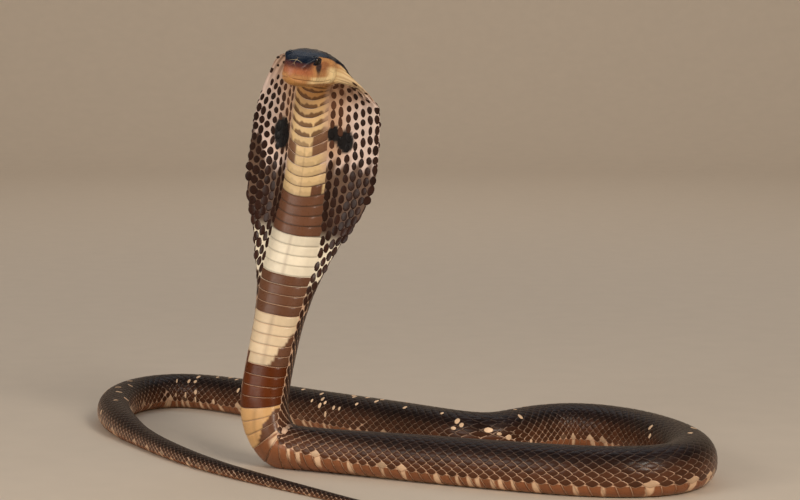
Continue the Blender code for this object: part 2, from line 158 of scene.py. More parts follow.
# Which way the back faces: metres, then a direction
BACK_FACES = [
    (0.000, (math.sin(HEAD_TILT), 0.00, math.cos(HEAD_TILT))),
    (0.032, (math.sin(HEAD_TILT), 0.00, math.cos(HEAD_TILT))),
    (0.050, (0.36, 0.60, 0.56)),
    (0.066, (0.30, 0.95, 0.00)),
    (0.240, (0.32, 0.95, 0.00)),
    (0.262, (0.35, 0.90, 0.10)),
    (0.278, (0.45, 0.75, 0.35)),
    (0.295, (0.30, 0.60, 0.70)),
    (0.320, (0.00, 0.40, 0.90)),
    (0.370, (0.00, 0.10, 1.00)),
    (0.400, (0.00, 0.00, 1.00)),
    (2.000, (0.00, 0.00, 1.00)),
]

# Where the resting part starts, how far its belly is pressed flat, and how softly it lands
FLOOR_START = 0.20
FLOOR_FLAT = 0.93
LANDING = 0.012

# Swellings and hollows of each side of the head: millimetres from the snout, degrees from
# the crown, how far each reaches along and round, and its height in millimetres
HEAD_FORMS = {
    "brow": (11.5, 45, 6.5, 12, 1.6),
    "lore": (7.8, 66, 2.8, 13, -0.6),
    "temple": (24.0, 55, 7.0, 15, 0.5),
    "cheek": (27.0, 92, 6.0, 20, 0.8),
    "upper_lip": (11.0, 90, 12.0, 6, 0.35),
    "lower_lip": (11.0, 113, 10.0, 8, 0.35),
}

# The line of the mouth to its corner: millimetres back from the snout, then up
MOUTH_LINE = [
    (-4.0, 0.3), (0.0, 0.2), (5.0, -0.5), (11.0, -1.7), (16.0, -2.4), (21.0, -2.6), (25.0, -1.9),
]
MOUTH_WIDTH = 0.42 * MM
MOUTH_CORNER = (0.0240, 0.0262)
NOSTRIL_PLACE = (4.6 * MM, 62)
EYE_PLACE = (13.2 * MM, 57)
EYE_RADIUS = 2.7 * MM
EYE_SUNK = 1.40 * MM

# Rings raised or sunk in the skin round eye and nostril: height, radius, width, in millimetres
EYE_RING = (0.28, 3.20, 0.50)
NOSTRIL_RINGS = [(-1.0, 0.0, 0.80), (0.16, 1.35, 0.45)]

# The ridge of the brow: millimetres from the snout, degrees from the crown, and its reaches
BROW_PLACE = (11.5, 44.0)
BROW_REACH = (4.8, 8.0)


def smooth_step(value, low, high):
    """0 at low, 1 at high and smooth between them. Low may be the larger of the two."""
    share = np.clip((value - low) / (high - low), 0.0, 1.0)
    return share * share * (3.0 - 2.0 * share)


def between(value, rise, fall):
    """1 between a rise and a fall, each given by where it starts and ends."""
    return smooth_step(value, *rise) * (1 - smooth_step(value, *fall))


def bump(value, middle, reach):
    """1 at the middle, falling smoothly to 0 at the reach on both sides."""
    return 1 - smooth_step(np.abs(value - middle), 0.0, reach)


def read_curve(rows, distance, column=1):
    """A smooth curve through the rows that never swings past them, read at the distances."""
    places = np.array([row[0] for row in rows], float)
    values = np.array([row[column] for row in rows], float)
    steps = np.diff(places)
    slopes = np.diff(values) / steps
    tangents = np.concatenate([slopes[:1], np.zeros(len(rows) - 2), slopes[-1:]])
    same_way = slopes[:-1] * slopes[1:] > 0
    near = 2.0 * steps[1:] + steps[:-1]
    far = steps[1:] + 2.0 * steps[:-1]
    safe = np.where(same_way, slopes[:-1], 1.0), np.where(same_way, slopes[1:], 1.0)
    blend = (near + far) / (near / safe[0] + far / safe[1])
    tangents[1:-1] = np.where(same_way, blend, 0.0)
    cell = np.clip(np.searchsorted(places, distance) - 1, 0, len(steps) - 1)
    t = np.clip((distance - places[cell]) / steps[cell], 0.0, 1.0)
    rise = steps[cell] * (t * (1 - t) ** 2 * tangents[cell] - t * t * (1 - t) * tangents[cell + 1])
    return values[cell] + t * t * (3 - 2 * t) * (values[cell + 1] - values[cell]) + rise


def spline_points(guides, per_span=24):
    """Points along the uniform cubic B-spline of the guide points, ends included."""
    guides = np.array(guides, float)
    guides = np.vstack([2 * guides[0] - guides[1], guides, 2 * guides[-1] - guides[-2]])
    t = np.linspace(0.0, 1.0, per_span, endpoint=False)[:, None]
    weights = ((1 - t) ** 3, 3 * t**3 - 6 * t**2 + 4, -3 * t**3 + 3 * t**2 + 3 * t + 1, t**3)
    spans = [
        sum(weight * guide for weight, guide in zip(weights, guides[i:i + 4])) / 6
        for i in range(len(guides) - 3)
    ]
    last = (guides[-3] + 4 * guides[-2] + guides[-1]) / 6
    return np.vstack(spans + [last[None]])


def unit(vectors):
    """The vectors at a length of 1."""
    return vectors / np.maximum(np.linalg.norm(vectors, axis=-1, keepdims=True), 1e-12)


def distances_along(points):
    """How far along their line each of the points lies."""
    return np.concatenate([[0.0], np.cumsum(np.linalg.norm(np.diff(points, axis=0), axis=1))])


def folded(angle):
    """Angles from the back as -pi to pi."""
    return (np.asarray(angle) + np.pi) % (2 * np.pi) - np.pi


def degrees_from_back(angle):
    """Angles from the back in degrees, the same on both sides."""
    return np.degrees(np.abs(folded(angle)))


class Spine:
    """The middle line of the animal, with the directions to its tail, back and left side."""

    def __init__(self):
        self.head_tailward = np.array([
            math.sin(HEAD_TURN) * math.cos(HEAD_NOD),
            math.cos(HEAD_TURN) * math.cos(HEAD_NOD),
            math.sin(HEAD_NOD),
        ])
        head = [
            MOUTH_TIP + self.head_tailward * u for u in np.linspace(0.0, HEAD_LENGTH, HEAD_GUIDES)
        ]
        floor = [np.array([x, y, 0.0]) for x, y in FLOOR_GUIDES]
        points = spline_points(head + [np.array(guide) for guide in RAISED_GUIDES] + floor)
        distance = distances_along(points)
        resting = FLOOR_FLAT * read_curve(BODY_SIZES, distance, 3) * MM
        height = points[:, 2]
        over = height - resting
        settled = resting + 0.5 * (over + np.sqrt(over**2 + (LANDING / 3) ** 2))
        raised = smooth_step(height, 0.0, LANDING)
        landed = resting * (1 - raised) + settled * raised
        points[:, 2] = np.where(distance > FLOOR_START, landed, height)
        self.distance = distances_along(points)
        self.tail = unit(np.gradient(points, axis=0))
        wanted = np.column_stack([
            read_curve([(place, way[axis]) for place, way in BACK_FACES], self.distance)
            for axis in range(3)
        ])
        across = np.sum(wanted * self.tail, axis=1, keepdims=True)
        self.back = unit(wanted - across * self.tail)
        self.left = np.cross(self.tail, self.back)
        self.points = points - FOOTPRINT_MIDDLE

    def read(self, distance):
        """The point, and the directions to the tail, the back and the left side, there."""
        return [
            np.column_stack([np.interp(distance, self.distance, table[:, k]) for k in range(3)])
            for table in (self.points, self.tail, self.back, self.left)
        ]


SPINE = Spine()


def head_relief(distance, angle):
    """How far the swellings of the head stand out, at each angle from the crown."""
    turn = degrees_from_back(angle)
    relief = 0.0
    for along, degrees, long, wide, height in HEAD_FORMS.values():
        near = ((distance / MM - along) / long) ** 2 + ((turn - degrees) / wide) ** 2
        relief = relief + height * MM * np.exp(-near)
    return relief * smooth_step(distance, HEAD_LENGTH, HEAD_LENGTH - 0.006)


def section(distance, angle):
    """Where the surface lies, to the left and towards the back, at angles from the back."""
    core, back, belly = (read_curve(BODY_SIZES, distance, k) * MM for k in (1, 2, 3))
    spread = read_curve(HOOD_SPREAD, distance) * MM
    shift = read_curve(HOOD_SHIFT, distance) * MM
    cup = read_curve(HOOD_CUP, distance) * MM
    hood = smooth_step(spread, 0.0, HOOD_FULL)
    sine, cosine = np.sin(angle), np.cos(angle)
    upper = cosine >= 0
    power = 2.0 / np.where(
        upper, read_curve(SQUARENESS, distance, 1), read_curve(SQUARENESS, distance, 2)
    )
    x = core * np.sign(sine) * np.abs(sine) ** power + spread * sine**3 + shift * sine**4
    depth = np.where(upper, back, belly)
    share = np.abs(x) / core
    column = np.where(upper, 1 / (1 + (share / 1.25) ** 4), 1 / (1 + (share / 1.12) ** 6))
    depth = depth * (1 - hood) + (HOOD_EDGE + (depth - HOOD_EDGE) * column) * hood
    z = depth * np.sign(cosine) * np.abs(cosine) ** power
    out = np.clip((np.abs(x) - core) / np.maximum(spread, MM), 0.0, 1.0)
    z = z + hood * (HOOD_SET_BACK * (1 - 1 / (1 + (share / 1.3) ** 4)) - cup * out**2)
    relief = head_relief(distance, angle)
    return x + relief * sine, z + relief * cosine


def width_share(distance, x):
    """How far to its side a place lies, as a share of the body's half width there."""
    return np.abs(x) / (read_curve(BODY_SIZES, distance) * MM)


def kept_up(points, distance):
    """The points, after any of the resting part that lie under the floor are lifted on to it."""
    height = points[..., 2]
    points[..., 2] = np.where(distance > FLOOR_START, np.maximum(height, 0.0), height)
    return points


def surface(distance, angle):
    """Points of the surface at distances from the snout and angles from the back."""
    distance, angle = np.broadcast_arrays(np.asarray(distance, float), np.asarray(angle, float))
    flat = distance.ravel()
    point, _, back, left = SPINE.read(flat)
    x, z = section(flat, angle.ravel())
    found = kept_up(point + x[:, None] * left + z[:, None] * back, flat)
    return found.reshape(distance.shape + (3,))


def lie_of(distance, angle):
    """The surface's point, direction to the tail, direction out, and stretch along, there."""
    step, turn = 0.5 * MM, 0.02
    before = np.maximum(distance - step, 0.0)
    after = before + 2 * step
    along = (surface(after, angle) - surface(before, angle)) / (2 * step)
    round_way = surface(distance, angle + turn) - surface(distance, angle - turn)
    outward = unit(np.cross(round_way, along))
    return surface(distance, angle), unit(along), outward, np.linalg.norm(along, axis=-1)


# Table of the girth: end and step of its fine part, then its step behind that, and how many
# shares each half of a section is cut into
GIRTH_FINE = (0.040, 0.00025)
GIRTH_STEP = 0.001
GIRTH_SHARES = 400

# Bands of the skin's mesh: start, end, points round it, rings along it
SKIN_BANDS = [
    (0.000, 0.036, 384, 150), (0.036, 0.200, 192, 96), (0.200, 0.240, 96, 12),
    (0.240, 1.630, 48, 345),
]
SNOUT_BUNCHING = 1.6
SNOUT_CAP = (0.15, 0.35, 0.55, 0.75, 0.90)
SNOUT_BULGE = 0.5 * MM
COAT_START = (0.028, 0.036)  # the skin sinks under the coat between these distances

# Where the belly scutes end, as a share of the body's half width
BELLY_EDGE = [
    (0.000, 0.95), (0.030, 0.95), (0.060, 1.00), (0.130, 1.00), (0.165, 1.14), (0.190, 1.06),
    (0.220, 0.96), (0.300, 0.95), (0.400, 0.965), (1.350, 0.95), (1.630, 0.90),
]

# Length of one scale or belly scute along the body: metres, millimetres
PITCH = [
    (0.000, 5.4), (0.030, 5.6), (0.060, 6.2), (0.120, 6.4), (0.300, 6.5), (0.500, 7.0),
    (1.000, 6.8), (1.250, 6.0), (1.350, 5.2), (1.500, 4.2), (1.630, 3.2),
]

# Rows of scales on each side, counted from the middle of the back: first and last distance
ROW_SPANS = {
    1: (0.000, 1.640), 2: (0.000, 1.500), 3: (0.000, 1.430), 4: (0.000, 1.380),
    5: (0.000, 1.340), 6: (0.000, 1.200), 7: (0.000, 1.120), 8: (0.000, 1.020),
    9: (0.000, 0.900), 10: (0.000, 1.640), 11: (0.000, 0.200), 12: (0.034, 0.165),
    13: (0.038, 0.150), 14: (0.041, 0.180), 15: (0.045, 0.230), 16: (0.000, 1.640),
}
ROWS_START = 0.022
ROW_STEP = 0.0005
ROW_FADE = 0.008  # a row begins and ends over twice this length
MIDDLE_SHARE = 0.65  # width of half the middle row and the gap at the scutes, in rows

# Where the first scale of a row may lie: degrees from the back, metres
COAT_FRONT = [(0, 0.0285), (52, 0.0295), (62, 0.0340), (90, 0.0362), (120, 0.0400), (180, 0.0400)]
SCALES_END = 1.612

# Shares of its cell that a scale fills: metres, across, along
FILL = [
    (0.025, 0.80, 1.00), (0.040, 0.44, 0.86), (0.060, 0.35, 0.86), (0.095, 0.36, 0.90),
    (0.115, 0.48, 0.98), (0.145, 0.68, 1.06), (0.185, 0.80, 1.06), (0.240, 0.93, 1.10),
    (0.340, 0.96, 1.12), (1.630, 0.96, 1.14),
]

# The shares across and along on the back of the hood, where its scales lie closer
BACK_FILL = (0.66, 1.10)

# Scales beside the throat are larger: how much wider and longer, and up to which distance
STREAKS = (1.25, 1.22, 0.090)

# Thickness of the scales by distance, as a share of a trunk scale's
THICKNESS = [(0.025, 0.50), (0.060, 0.38), (0.130, 0.48), (0.190, 0.78), (0.270, 1.0), (1.63, 1.0)]

# Rows of the hood are spaced by their own length ahead of the first distance, and all of the
# rows keep step with each other behind the second
EVEN_ROWS = (0.240, 0.170)

# Scales on the hood are loose round the first distance, as far as the second
LOOSE = (0.090, 0.085)
HOOD_JITTER = 0.42 * MM
HOOD_TWIST = 0.22
HOOD_VARIES = 0.20

# Up to the first distance, scales of the hood keep this spacing, and none lies on a crease,
# where the cosine between the skin's directions out, this far ahead and behind, is lower
CROWDED_UNTIL = 0.120
LEAST_SPACING = 3.5 * MM
CREASE_REACH = 2.5 * MM
CREASED = 0.55

# In the bend at the ground the skin is squeezed to under this share of its length, up to there
SQUEEZED = (0.55, 0.340)

# A pale fleck against the scale that it lies on: length, width, height
FLECK_SIZE = (0.34, 0.66, 0.50)

# Outline of a scale by distance, from 0, an oval, to 4, a rhomb with soft corners
OUTLINE = [(0.025, 2.0), (0.050, 1.0), (0.130, 1.0), (0.190, 2.0), (0.270, 4.0), (1.630, 4.0)]
OUTLINE_POWERS = (2.0, 1.8, 1.62, 1.48, 1.36)
SCALE_POINTS = 14
SCALE_LIFT = 0.72
SCALE_BENDS = (0.12, 0.22, 0.34, 0.45, 0.52)

# Rings of a scale from its root to its top: share of its outline, height, share of rim
SCALE_RINGS = [(0.97, -0.95, 1.0), (1.00, 0.05, 1.0), (0.80, 0.42, 0.55)]
SCALE_TOP = 0.62

# Lengths of the coat: start, end, and the part of the body that each covers
COATS = {
    "coat_hood": (0.000, 0.165, "hood"),
    "coat_neck": (0.165, 0.340, "neck"),
    "coat_trunk_front": (0.340, 0.670, "trunk"),
    "coat_trunk_back": (0.670, 1.000, "trunk"),
    "coat_trunk_rear": (1.000, 1.350, "trunk"),
    "coat_tail": (1.350, 1.640, "tail"),
}
PATCH_SIZE = 0.003

# Belly scutes: where they start and end, and how their edges run
SCUTES_START = 0.037
SCUTES_END = 1.600
VENT = 1.350
SCUTE_SWEEP = [(0.030, 0.95), (0.090, 0.90), (0.130, 0.55), (0.180, 0.36), (1.630, 0.32)]

# A scute from its front edge to its rear one: share of its length, share of its height, or of
# its root's depth where that is under 0
SCUTE_PROFILE = [
    (-0.04, -1.2), (0.06, 0.10), (0.20, 0.32), (0.34, 0.49), (0.46, 0.62), (0.55, 0.70),
    (0.64, 0.77), (0.74, 0.84), (0.84, 0.92), (0.95, 1.00), (1.00, 1.00), (0.98, -1.2),
]

# Shields of each side of the head: millimetres from the snout, degrees from the crown, and
# how far each pushes its borders out, in millimetres
UPPER_SHIELDS = [
    (0.8, 0, 0.6), (3.0, 24, 0.0), (7.2, 25, 0.2), (13.2, 0, 0.4), (13.2, 42, 0.2),
    (21.5, 22, 2.2), (2.2, 62, 0.0), (5.9, 60, 0.0), (9.2, 56, 0.0), (17.4, 52, -0.4),
    (17.6, 64, -0.4), (16.8, 75, -0.4), (21.5, 58, 0.0), (21.5, 74, 0.0), (27.0, 50, 0.0),
    (27.0, 64, 0.0), (27.0, 78, 0.0), (1.8, 86, 0.0), (4.4, 85, 0.0), (7.6, 85, 0.0),
    (11.2, 85, 0.2), (15.2, 86, 0.2), (19.8, 88, 0.4), (24.6, 90, 0.4), (29.0, 92, 0.0),
    (32.0, 57, 0.0), (32.0, 71, 0.0), (32.5, 86, 0.0),
]
LOWER_SHIELDS = [
    (0.8, 180, 0.4), (2.2, 122, 0.0), (5.0, 120, 0.0), (8.2, 119, 0.0), (11.8, 118, 0.0),
    (15.8, 117, 0.2), (19.8, 117, 0.2), (24.0, 116, 0.2), (5.6, 160, 0.8), (10.6, 162, 0.8),
    (28.5, 106, 0.0), (32.5, 102, 0.0), (28.5, 118, 0.0),
]
GULAR_ROWS = (14.5, 34.0, 2.9, 3.3)  # first, last, spacing along, spacing round
GROOVE_WIDTH = 0.22 * MM
SNOUT_HEIGHT = 11.4  # millimetres: the crown's dark colour starts by this height ahead of it
SHIELDS_END = (0.0330, 0.0356)

# Lower edge of the dark crown and nape behind the eye: millimetres, degrees from the crown
CROWN_EDGE = [(12, 39), (18, 44), (27, 55), (33, 62), (36, 64), (42, 60), (60, 56)]

# Bands of the belly column down to the ground: the end of each in millimetres, and its colour
CREAM_END = 127.0
COLUMN_END = 284.0
COLUMN_BANDS = [
    (66.0, "throat"), (CREAM_END, "cream"), (155.5, "scute_brown"), (183.5, "white_band"),
    (206.0, "scute_brown"), (238.0, "pale_band"), (265.0, "chestnut"), (COLUMN_END, "tan_band"),
    (2000.0, "flank_brown"),
]

# Where brown cuts into the pale bands from the animal's left: first and last distance in
# millimetres, then the share of the half width where it starts at each
BAND_CUTS = [(210.0, 238.0, 1.15, 0.20), (265.0, 286.0, 0.95, -0.10)]

# Black spots of the hood's front: millimetres from the snout, from the middle towards the
# animal's left, half length, half width
FRONT_SPOTS = [(88.6, 15.8, 5.8, 3.4), (92.6, 22.6, 7.4, 5.6), (91.8, -19.4, 10.4, 6.4)]

# Where the colours of skin and scales change: from and to, in millimetres from the snout
NAPE_END = (46.0, 66.0)
NET_START = (162.0, 205.0)
TRUNK_START = (230.0, 300.0)
BLOTCHES_START = (308.0, 324.0)
COLLAR = ((148.0, 160.0), (178.0, 196.0))
FLECKED = ((560.0, 860.0), (1140.0, 1300.0))

# Where they change round the body: from and to, in degrees from the back
FLANK_TURN = (43.0, 100.0)
FOLDS_TURN = (84.0, 100.0)
BLOTCHES_TURN = (93.0, 103.0)

# The mark on the back of the hood: two ringed spots and the bow that joins them
MARK_PLACE = (80.0, 14.0)
MARK_RADIUS = 7.0
MARK_LINE = 2.3
MARK_BOW = 20.0

# Eyes: the iris blends from and into black at these cosines from the middle of the pupil
EYE_SEGMENTS = 48
IRIS_RIM = (0.54, 0.62)
PUPIL_RIM = (0.72, 0.80)

# The camera of the photograph, and the studio
CAMERA_PLACE = (0.01024, -1.40807, 0.2545)
CAMERA_PITCH = math.degrees(math.atan(190 / 2200))
CAMERA_LENS = 99.0
STAGE_FLAT = 3.6
STAGE_CURVE = 1.4
STAGE_HEIGHT = 3.2
STAGE_SIDES = 96
LAMP_AIM = (0.0, 0.0, 0.08)


class Girth:
    """Where the skin lies round each section, by share of the way from back to belly."""

    def __init__(self):
        fine = np.arange(0.0, *GIRTH_FINE)
        wide = np.arange(GIRTH_FINE[0], TOTAL_LENGTH + 0.5 * GIRTH_STEP, GIRTH_STEP)
        self.places = np.concatenate([fine, wide])
        step = np.linspace(0.0, 1.0, 101)
        quarter = step * step * (3 - 2 * step) * np.pi / 2
        turns = np.concatenate([quarter, np.pi / 2 + quarter[1:]])
        lower = slice(len(quarter) - 1, None)
        x, z = section(self.places[:, None], turns[None, :])
        steps = np.hypot(np.diff(x, axis=1), np.diff(z, axis=1))
        arc = np.concatenate([np.zeros((len(x), 1)), np.cumsum(steps, axis=1)], axis=1)
        shares = np.linspace(0.0, 1.0, GIRTH_SHARES + 1)
        self.turns = np.array([np.interp(shares * row[-1], row, turns) for row in arc])
        half_width = read_curve(BODY_SIZES, self.places) * MM
        wanted = read_curve(BELLY_EDGE, self.places) * half_width
        self.edge_turn = np.array([
            np.interp(width, row[lower][::-1], turns[lower][::-1])
            for width, row in zip(wanted, x)
        ])
        self.edge_arc = np.array([
            np.interp(turn, turns, row) for turn, row in zip(self.edge_turn, arc)
        ])
        self.edge_share = self.edge_arc / arc[:, -1]
        self.half = arc[:, -1]

    def turn_at(self, distance, share):
        """The angle from the back at a share of the way from back to belly."""
        row = np.interp(distance, self.places, np.arange(len(self.places)))
        low = np.minimum(row.astype(int), len(self.places) - 2)
        place = np.clip(share, 0.0, 1.0) * GIRTH_SHARES
        left = np.minimum(place.astype(int), GIRTH_SHARES - 1)
        down, over = row - low, place - left
        near = self.turns[low, left] * (1 - over) + self.turns[low, left + 1] * over
        far = self.turns[low + 1, left] * (1 - over) + self.turns[low + 1, left + 1] * over
        return near * (1 - down) + far * down

    def read(self, table, distance):
        """One of the tables, read at the distances."""
        return np.interp(distance, self.places, table)


class Rows:
    """The rows of scales: the share of the way round, the phase and the width of each."""

    def __init__(self, girth):
        self.girth = girth
        self.places = np.arange(ROWS_START, SCALES_END, ROW_STEP)
        pitch = read_curve(PITCH, self.places) * MM
        along = np.concatenate([[0.0], np.cumsum(ROW_STEP / pitch[1:])])
        weights = [np.ones(len(self.places))]
        for first, last in ROW_SPANS.values():
            begun = smooth_step(self.places, first - ROW_FADE, first + ROW_FADE)
            weights.append(begun * smooth_step(self.places, last + ROW_FADE, last - ROW_FADE))
        self.weights = np.array(weights)
        total = MIDDLE_SHARE + self.weights[1:].sum(axis=0)
        before = np.cumsum(self.weights[1:], axis=0) - self.weights[1:]
        outer = (0.5 + before + 0.5 * self.weights[1:]) / total
        self.shares = np.vstack([np.zeros(len(self.places)), outer])
        self.plain_phase = along
        turns = np.array([self.turn(row, self.places) for row in range(len(self.weights))])
        even = smooth_step(self.places, *EVEN_ROWS)
        offsets = np.vstack([np.zeros(len(self.places)), before + self.weights[1:]])
        reach = girth.read(girth.edge_arc, self.places)
        self.phases, self.widths = {}, {}
        for side in (1, -1):
            paths = surface(np.broadcast_to(self.places, turns.shape), side * turns)
            steps = np.linalg.norm(np.diff(paths, axis=1), axis=2) / ROW_STEP
            steps = np.concatenate([steps[:, :1], steps], axis=1)
            travelled = np.cumsum((1 + (steps - 1) * even) * ROW_STEP / pitch, axis=1)
            travelled = travelled - travelled[:, -1:] + along[-1]
            self.phases[side] = travelled + 0.5 * offsets
            widths = 2 * reach * self.weights / total
            self.widths[side] = widths / np.maximum(steps, 1.0) ** even

    def turn(self, row, distance):
        """The angle from the back at which a row runs."""
        share = np.interp(distance, self.places, self.shares[row])
        covered = self.girth.read(self.girth.edge_share, distance)
        return self.girth.turn_at(distance, share * covered)

    def roots(self, start, end):
        """Row, side and distance of each scale between two distances from the snout."""
        found = []
        for side, row in [(1, 0)] + [(s, r) for s in (1, -1) for r in range(1, len(self.weights))]:
            phase = self.phases[side][row]
            counts = np.arange(np.ceil(phase[0]), np.floor(phase[-1]) + 1)
            places = np.interp(counts, phase, self.places)
            kept = np.interp(places, self.places, self.weights[row]) > 0.6
            kept &= places >= read_curve(COAT_FRONT, np.degrees(self.turn(row, places)))
            kept &= (places >= start) & (places < end)
            found += [(row, side, place) for place in places[kept]]
        return self.spaced(found)

    def spaced(self, found):
        """Leaves out scales where the skin folds, or that lie too near one further back."""
        found = sorted(found, key=lambda one: -one[2])
        rows, side, places = (np.array(column) for column in zip(*found))
        turn = np.zeros(len(found))
        for row in np.unique(rows):
            turn[rows == row] = self.turn(row, places[rows == row])
        points, _, outward, stretch = lie_of(places, turn * side)
        _, _, ahead, _ = lie_of(np.maximum(places - CREASE_REACH, 0.0), turn * side)
        _, _, behind, _ = lie_of(places + CREASE_REACH, turn * side)
        hood = (places < CROWDED_UNTIL) & (np.cos(turn) < 0.3)
        kept = ~(hood & ((ahead * behind).sum(axis=1) < CREASED))
        squeezed = (stretch < SQUEEZED[0]) & (places < SQUEEZED[1])
        for index in np.flatnonzero(kept & (hood | squeezed)):
            before = np.flatnonzero(kept[:index])
            near = np.linalg.norm(points[before] - points[index], axis=1) < LEAST_SPACING
            kept[index] = not (near & (outward[before] @ outward[index] > 0.4)).any()
        return [one for one, stays in zip(found, kept) if stays]


GIRTH = Girth()
ROWS = Rows(GIRTH)


def mix(first, second, mask):
    """One colour laid over another where the mask is 1."""
    return first + (second - first) * np.asarray(mask)[..., None]


def painted(tone, colours, *layers):
    """The tone under layers of colour, each by its name and its mask."""
    for name, mask in layers:
        tone = mix(tone, colours[name], mask)
    return tone


def column_colour(colours, distance):
    """The colour of the belly column at the distances, one band after another."""
    ends = np.array([end for end, _ in COLUMN_BANDS]) * MM
    table = np.array([colours[name] for _, name in COLUMN_BANDS])
    return table[np.clip(np.searchsorted(ends, distance), 0, len(ends) - 1)]


def back_mark(along, across):
    """How much of a place on the back of the hood is pale line, and how much is black spot."""
    from_spot = np.hypot((along - MARK_PLACE[0]) / 1.1, np.abs(across) - MARK_PLACE[1])
    ring = 1 - smooth_step(np.abs(from_spot - MARK_RADIUS), MARK_LINE * 0.5, MARK_LINE * 0.9)
    spot = 1 - smooth_step(from_spot, MARK_RADIUS - MARK_LINE * 1.2, MARK_RADIUS - MARK_LINE * 0.6)
    inside = np.clip(1 - (across / MARK_PLACE[1]) ** 2, 0.0, 1.0)
    bow = MARK_PLACE[0] + MARK_RADIUS + MARK_BOW * inside
    line = 1 - smooth_step(np.abs(along - bow), MARK_LINE * 0.6, MARK_LINE * 1.2)
    line = line * (np.abs(across) < MARK_PLACE[1]) * (from_spot > MARK_RADIUS)
    return np.maximum(ring, line), spot


def blotches(along):
    """Where the pale blotches of the flank lie, along the body."""
    wave = np.sin(along * 0.31 + 1.0) + np.sin(along * 0.523 + 2.0) + np.sin(along * 0.871 + 0.5)
    return smooth_step(wave + 0.5 * np.sin(along * 0.047), 1.0, 1.35)


def nape_dark(along, degrees):
    """How much of a place lies in the dark of the crown and nape, behind the eye."""
    border = read_curve(CROWN_EDGE, along)
    return 1 - smooth_step(degrees, border - 3.0, border + 4.0)


def throat_folds(along, degrees):
    """Stripes for folds of skin that fan out from the corner of the mouth on to the hood: the
    surface is smooth, and the darker stripes are painted shade in the folds' creases.
    """
    folds = 0.5 + 0.5 * np.sin(degrees * 0.66 + 0.10 * along + 0.6 * np.sin(along * 0.45))
    return smooth_step(folds, 0.30, 0.75) * bump(along, 46.0, 30.0)


def body_colours(colours, distance, angle, on_scales):
    """Colours behind the head: of the skin, or of the scales that lie on it."""
    x, _ = section(distance, angle)
    along, across = distance / MM, x / MM
    degrees = degrees_from_back(angle)
    front = np.cos(angle) < 0
    width = width_share(distance, x)
    low = smooth_step(degrees, *FLANK_TURN)
    nape = nape_dark(along, degrees) * (1 - smooth_step(along, *NAPE_END))
    tone = np.broadcast_to(colours["scale_brown"], np.shape(along) + (3,))
    if on_scales:
        trunk = smooth_step(along, *TRUNK_START)
        near = front * (1 - smooth_step(width, 1.35, 2.2)) * (1 - smooth_step(along, 84.0, 112.0))
        lowest = smooth_step(degrees, *BLOTCHES_TURN) * smooth_step(along, *BLOTCHES_START)
        tone = painted(
            tone, colours,
            ("trunk_scale", trunk),
            ("flank_scale", 0.85 * low * trunk),
            ("hood_scale", front * bump(along, 95.0, 95.0)),
            ("scute_brown", 0.60 * near),
            ("crown", 0.85 * nape),
            ("flank_cream", 0.75 * blotches(along) * lowest),
        )
    else:
        # Pale stretched skin shows on the hood's front, down to a wavy border
        wavy = along + 3.5 * np.sin(across * 0.8 + along * 0.3)
        rim = smooth_step(0.25 * (along - 94.0) - 34.0 - across, -1.0, 1.0)
        last = np.where(across > 0, 103.0, 108.0)
        shown = 1 - rim * smooth_step(wavy, 88.0, 93.0)
        shown = shown * (1 - smooth_step(wavy, last, last + 9.0)) * smooth_step(degrees, 76.0, 84.0)
        wide = 1.25 + 1.2 * (1 - smooth_step(along, 56.0, 74.0))
        beside = front * bump(width, 1.15, wide) * (1 - smooth_step(along, 98.0, 112.0))
        folds = throat_folds(along, degrees)
        lower = smooth_step(degrees, *FOLDS_TURN)
        tone = painted(
            tone, colours,
            ("outline", (0.12 + 0.88 * low) * smooth_step(along, *NET_START)),
            ("outline", 0.15 * front * bump(along, 120.0, 46.0)),
            ("hood_skin", np.maximum(shown, 0.06 * ~front)),
            ("throat", 0.66 * beside * smooth_step(along, 34.0, 50.0)),
            ("lip", 0.85 * (1 - smooth_step(along, 37.0, 48.0))),
            # Darker stripes here are painted shade in the creases of the throat's folds
            ("scute_brown", 0.75 * folds * lower),
            ("side", 0.70 * folds * (1 - lower)),
            ("crown", nape),
            ("white_band", 0.92 * front * between(along, *COLLAR)),
        )
    for middle, side, long, wide in FRONT_SPOTS:
        from_spot = np.hypot((along - middle) / long, (across - side) / wide)
        tone = mix(tone, colours["spot"], front * (1 - smooth_step(from_spot, 0.90, 1.08)))
    line, spot = back_mark(along, across)
    return painted(tone, colours, ("cream", 0.85 * line * ~front), ("spot", spot * ~front))


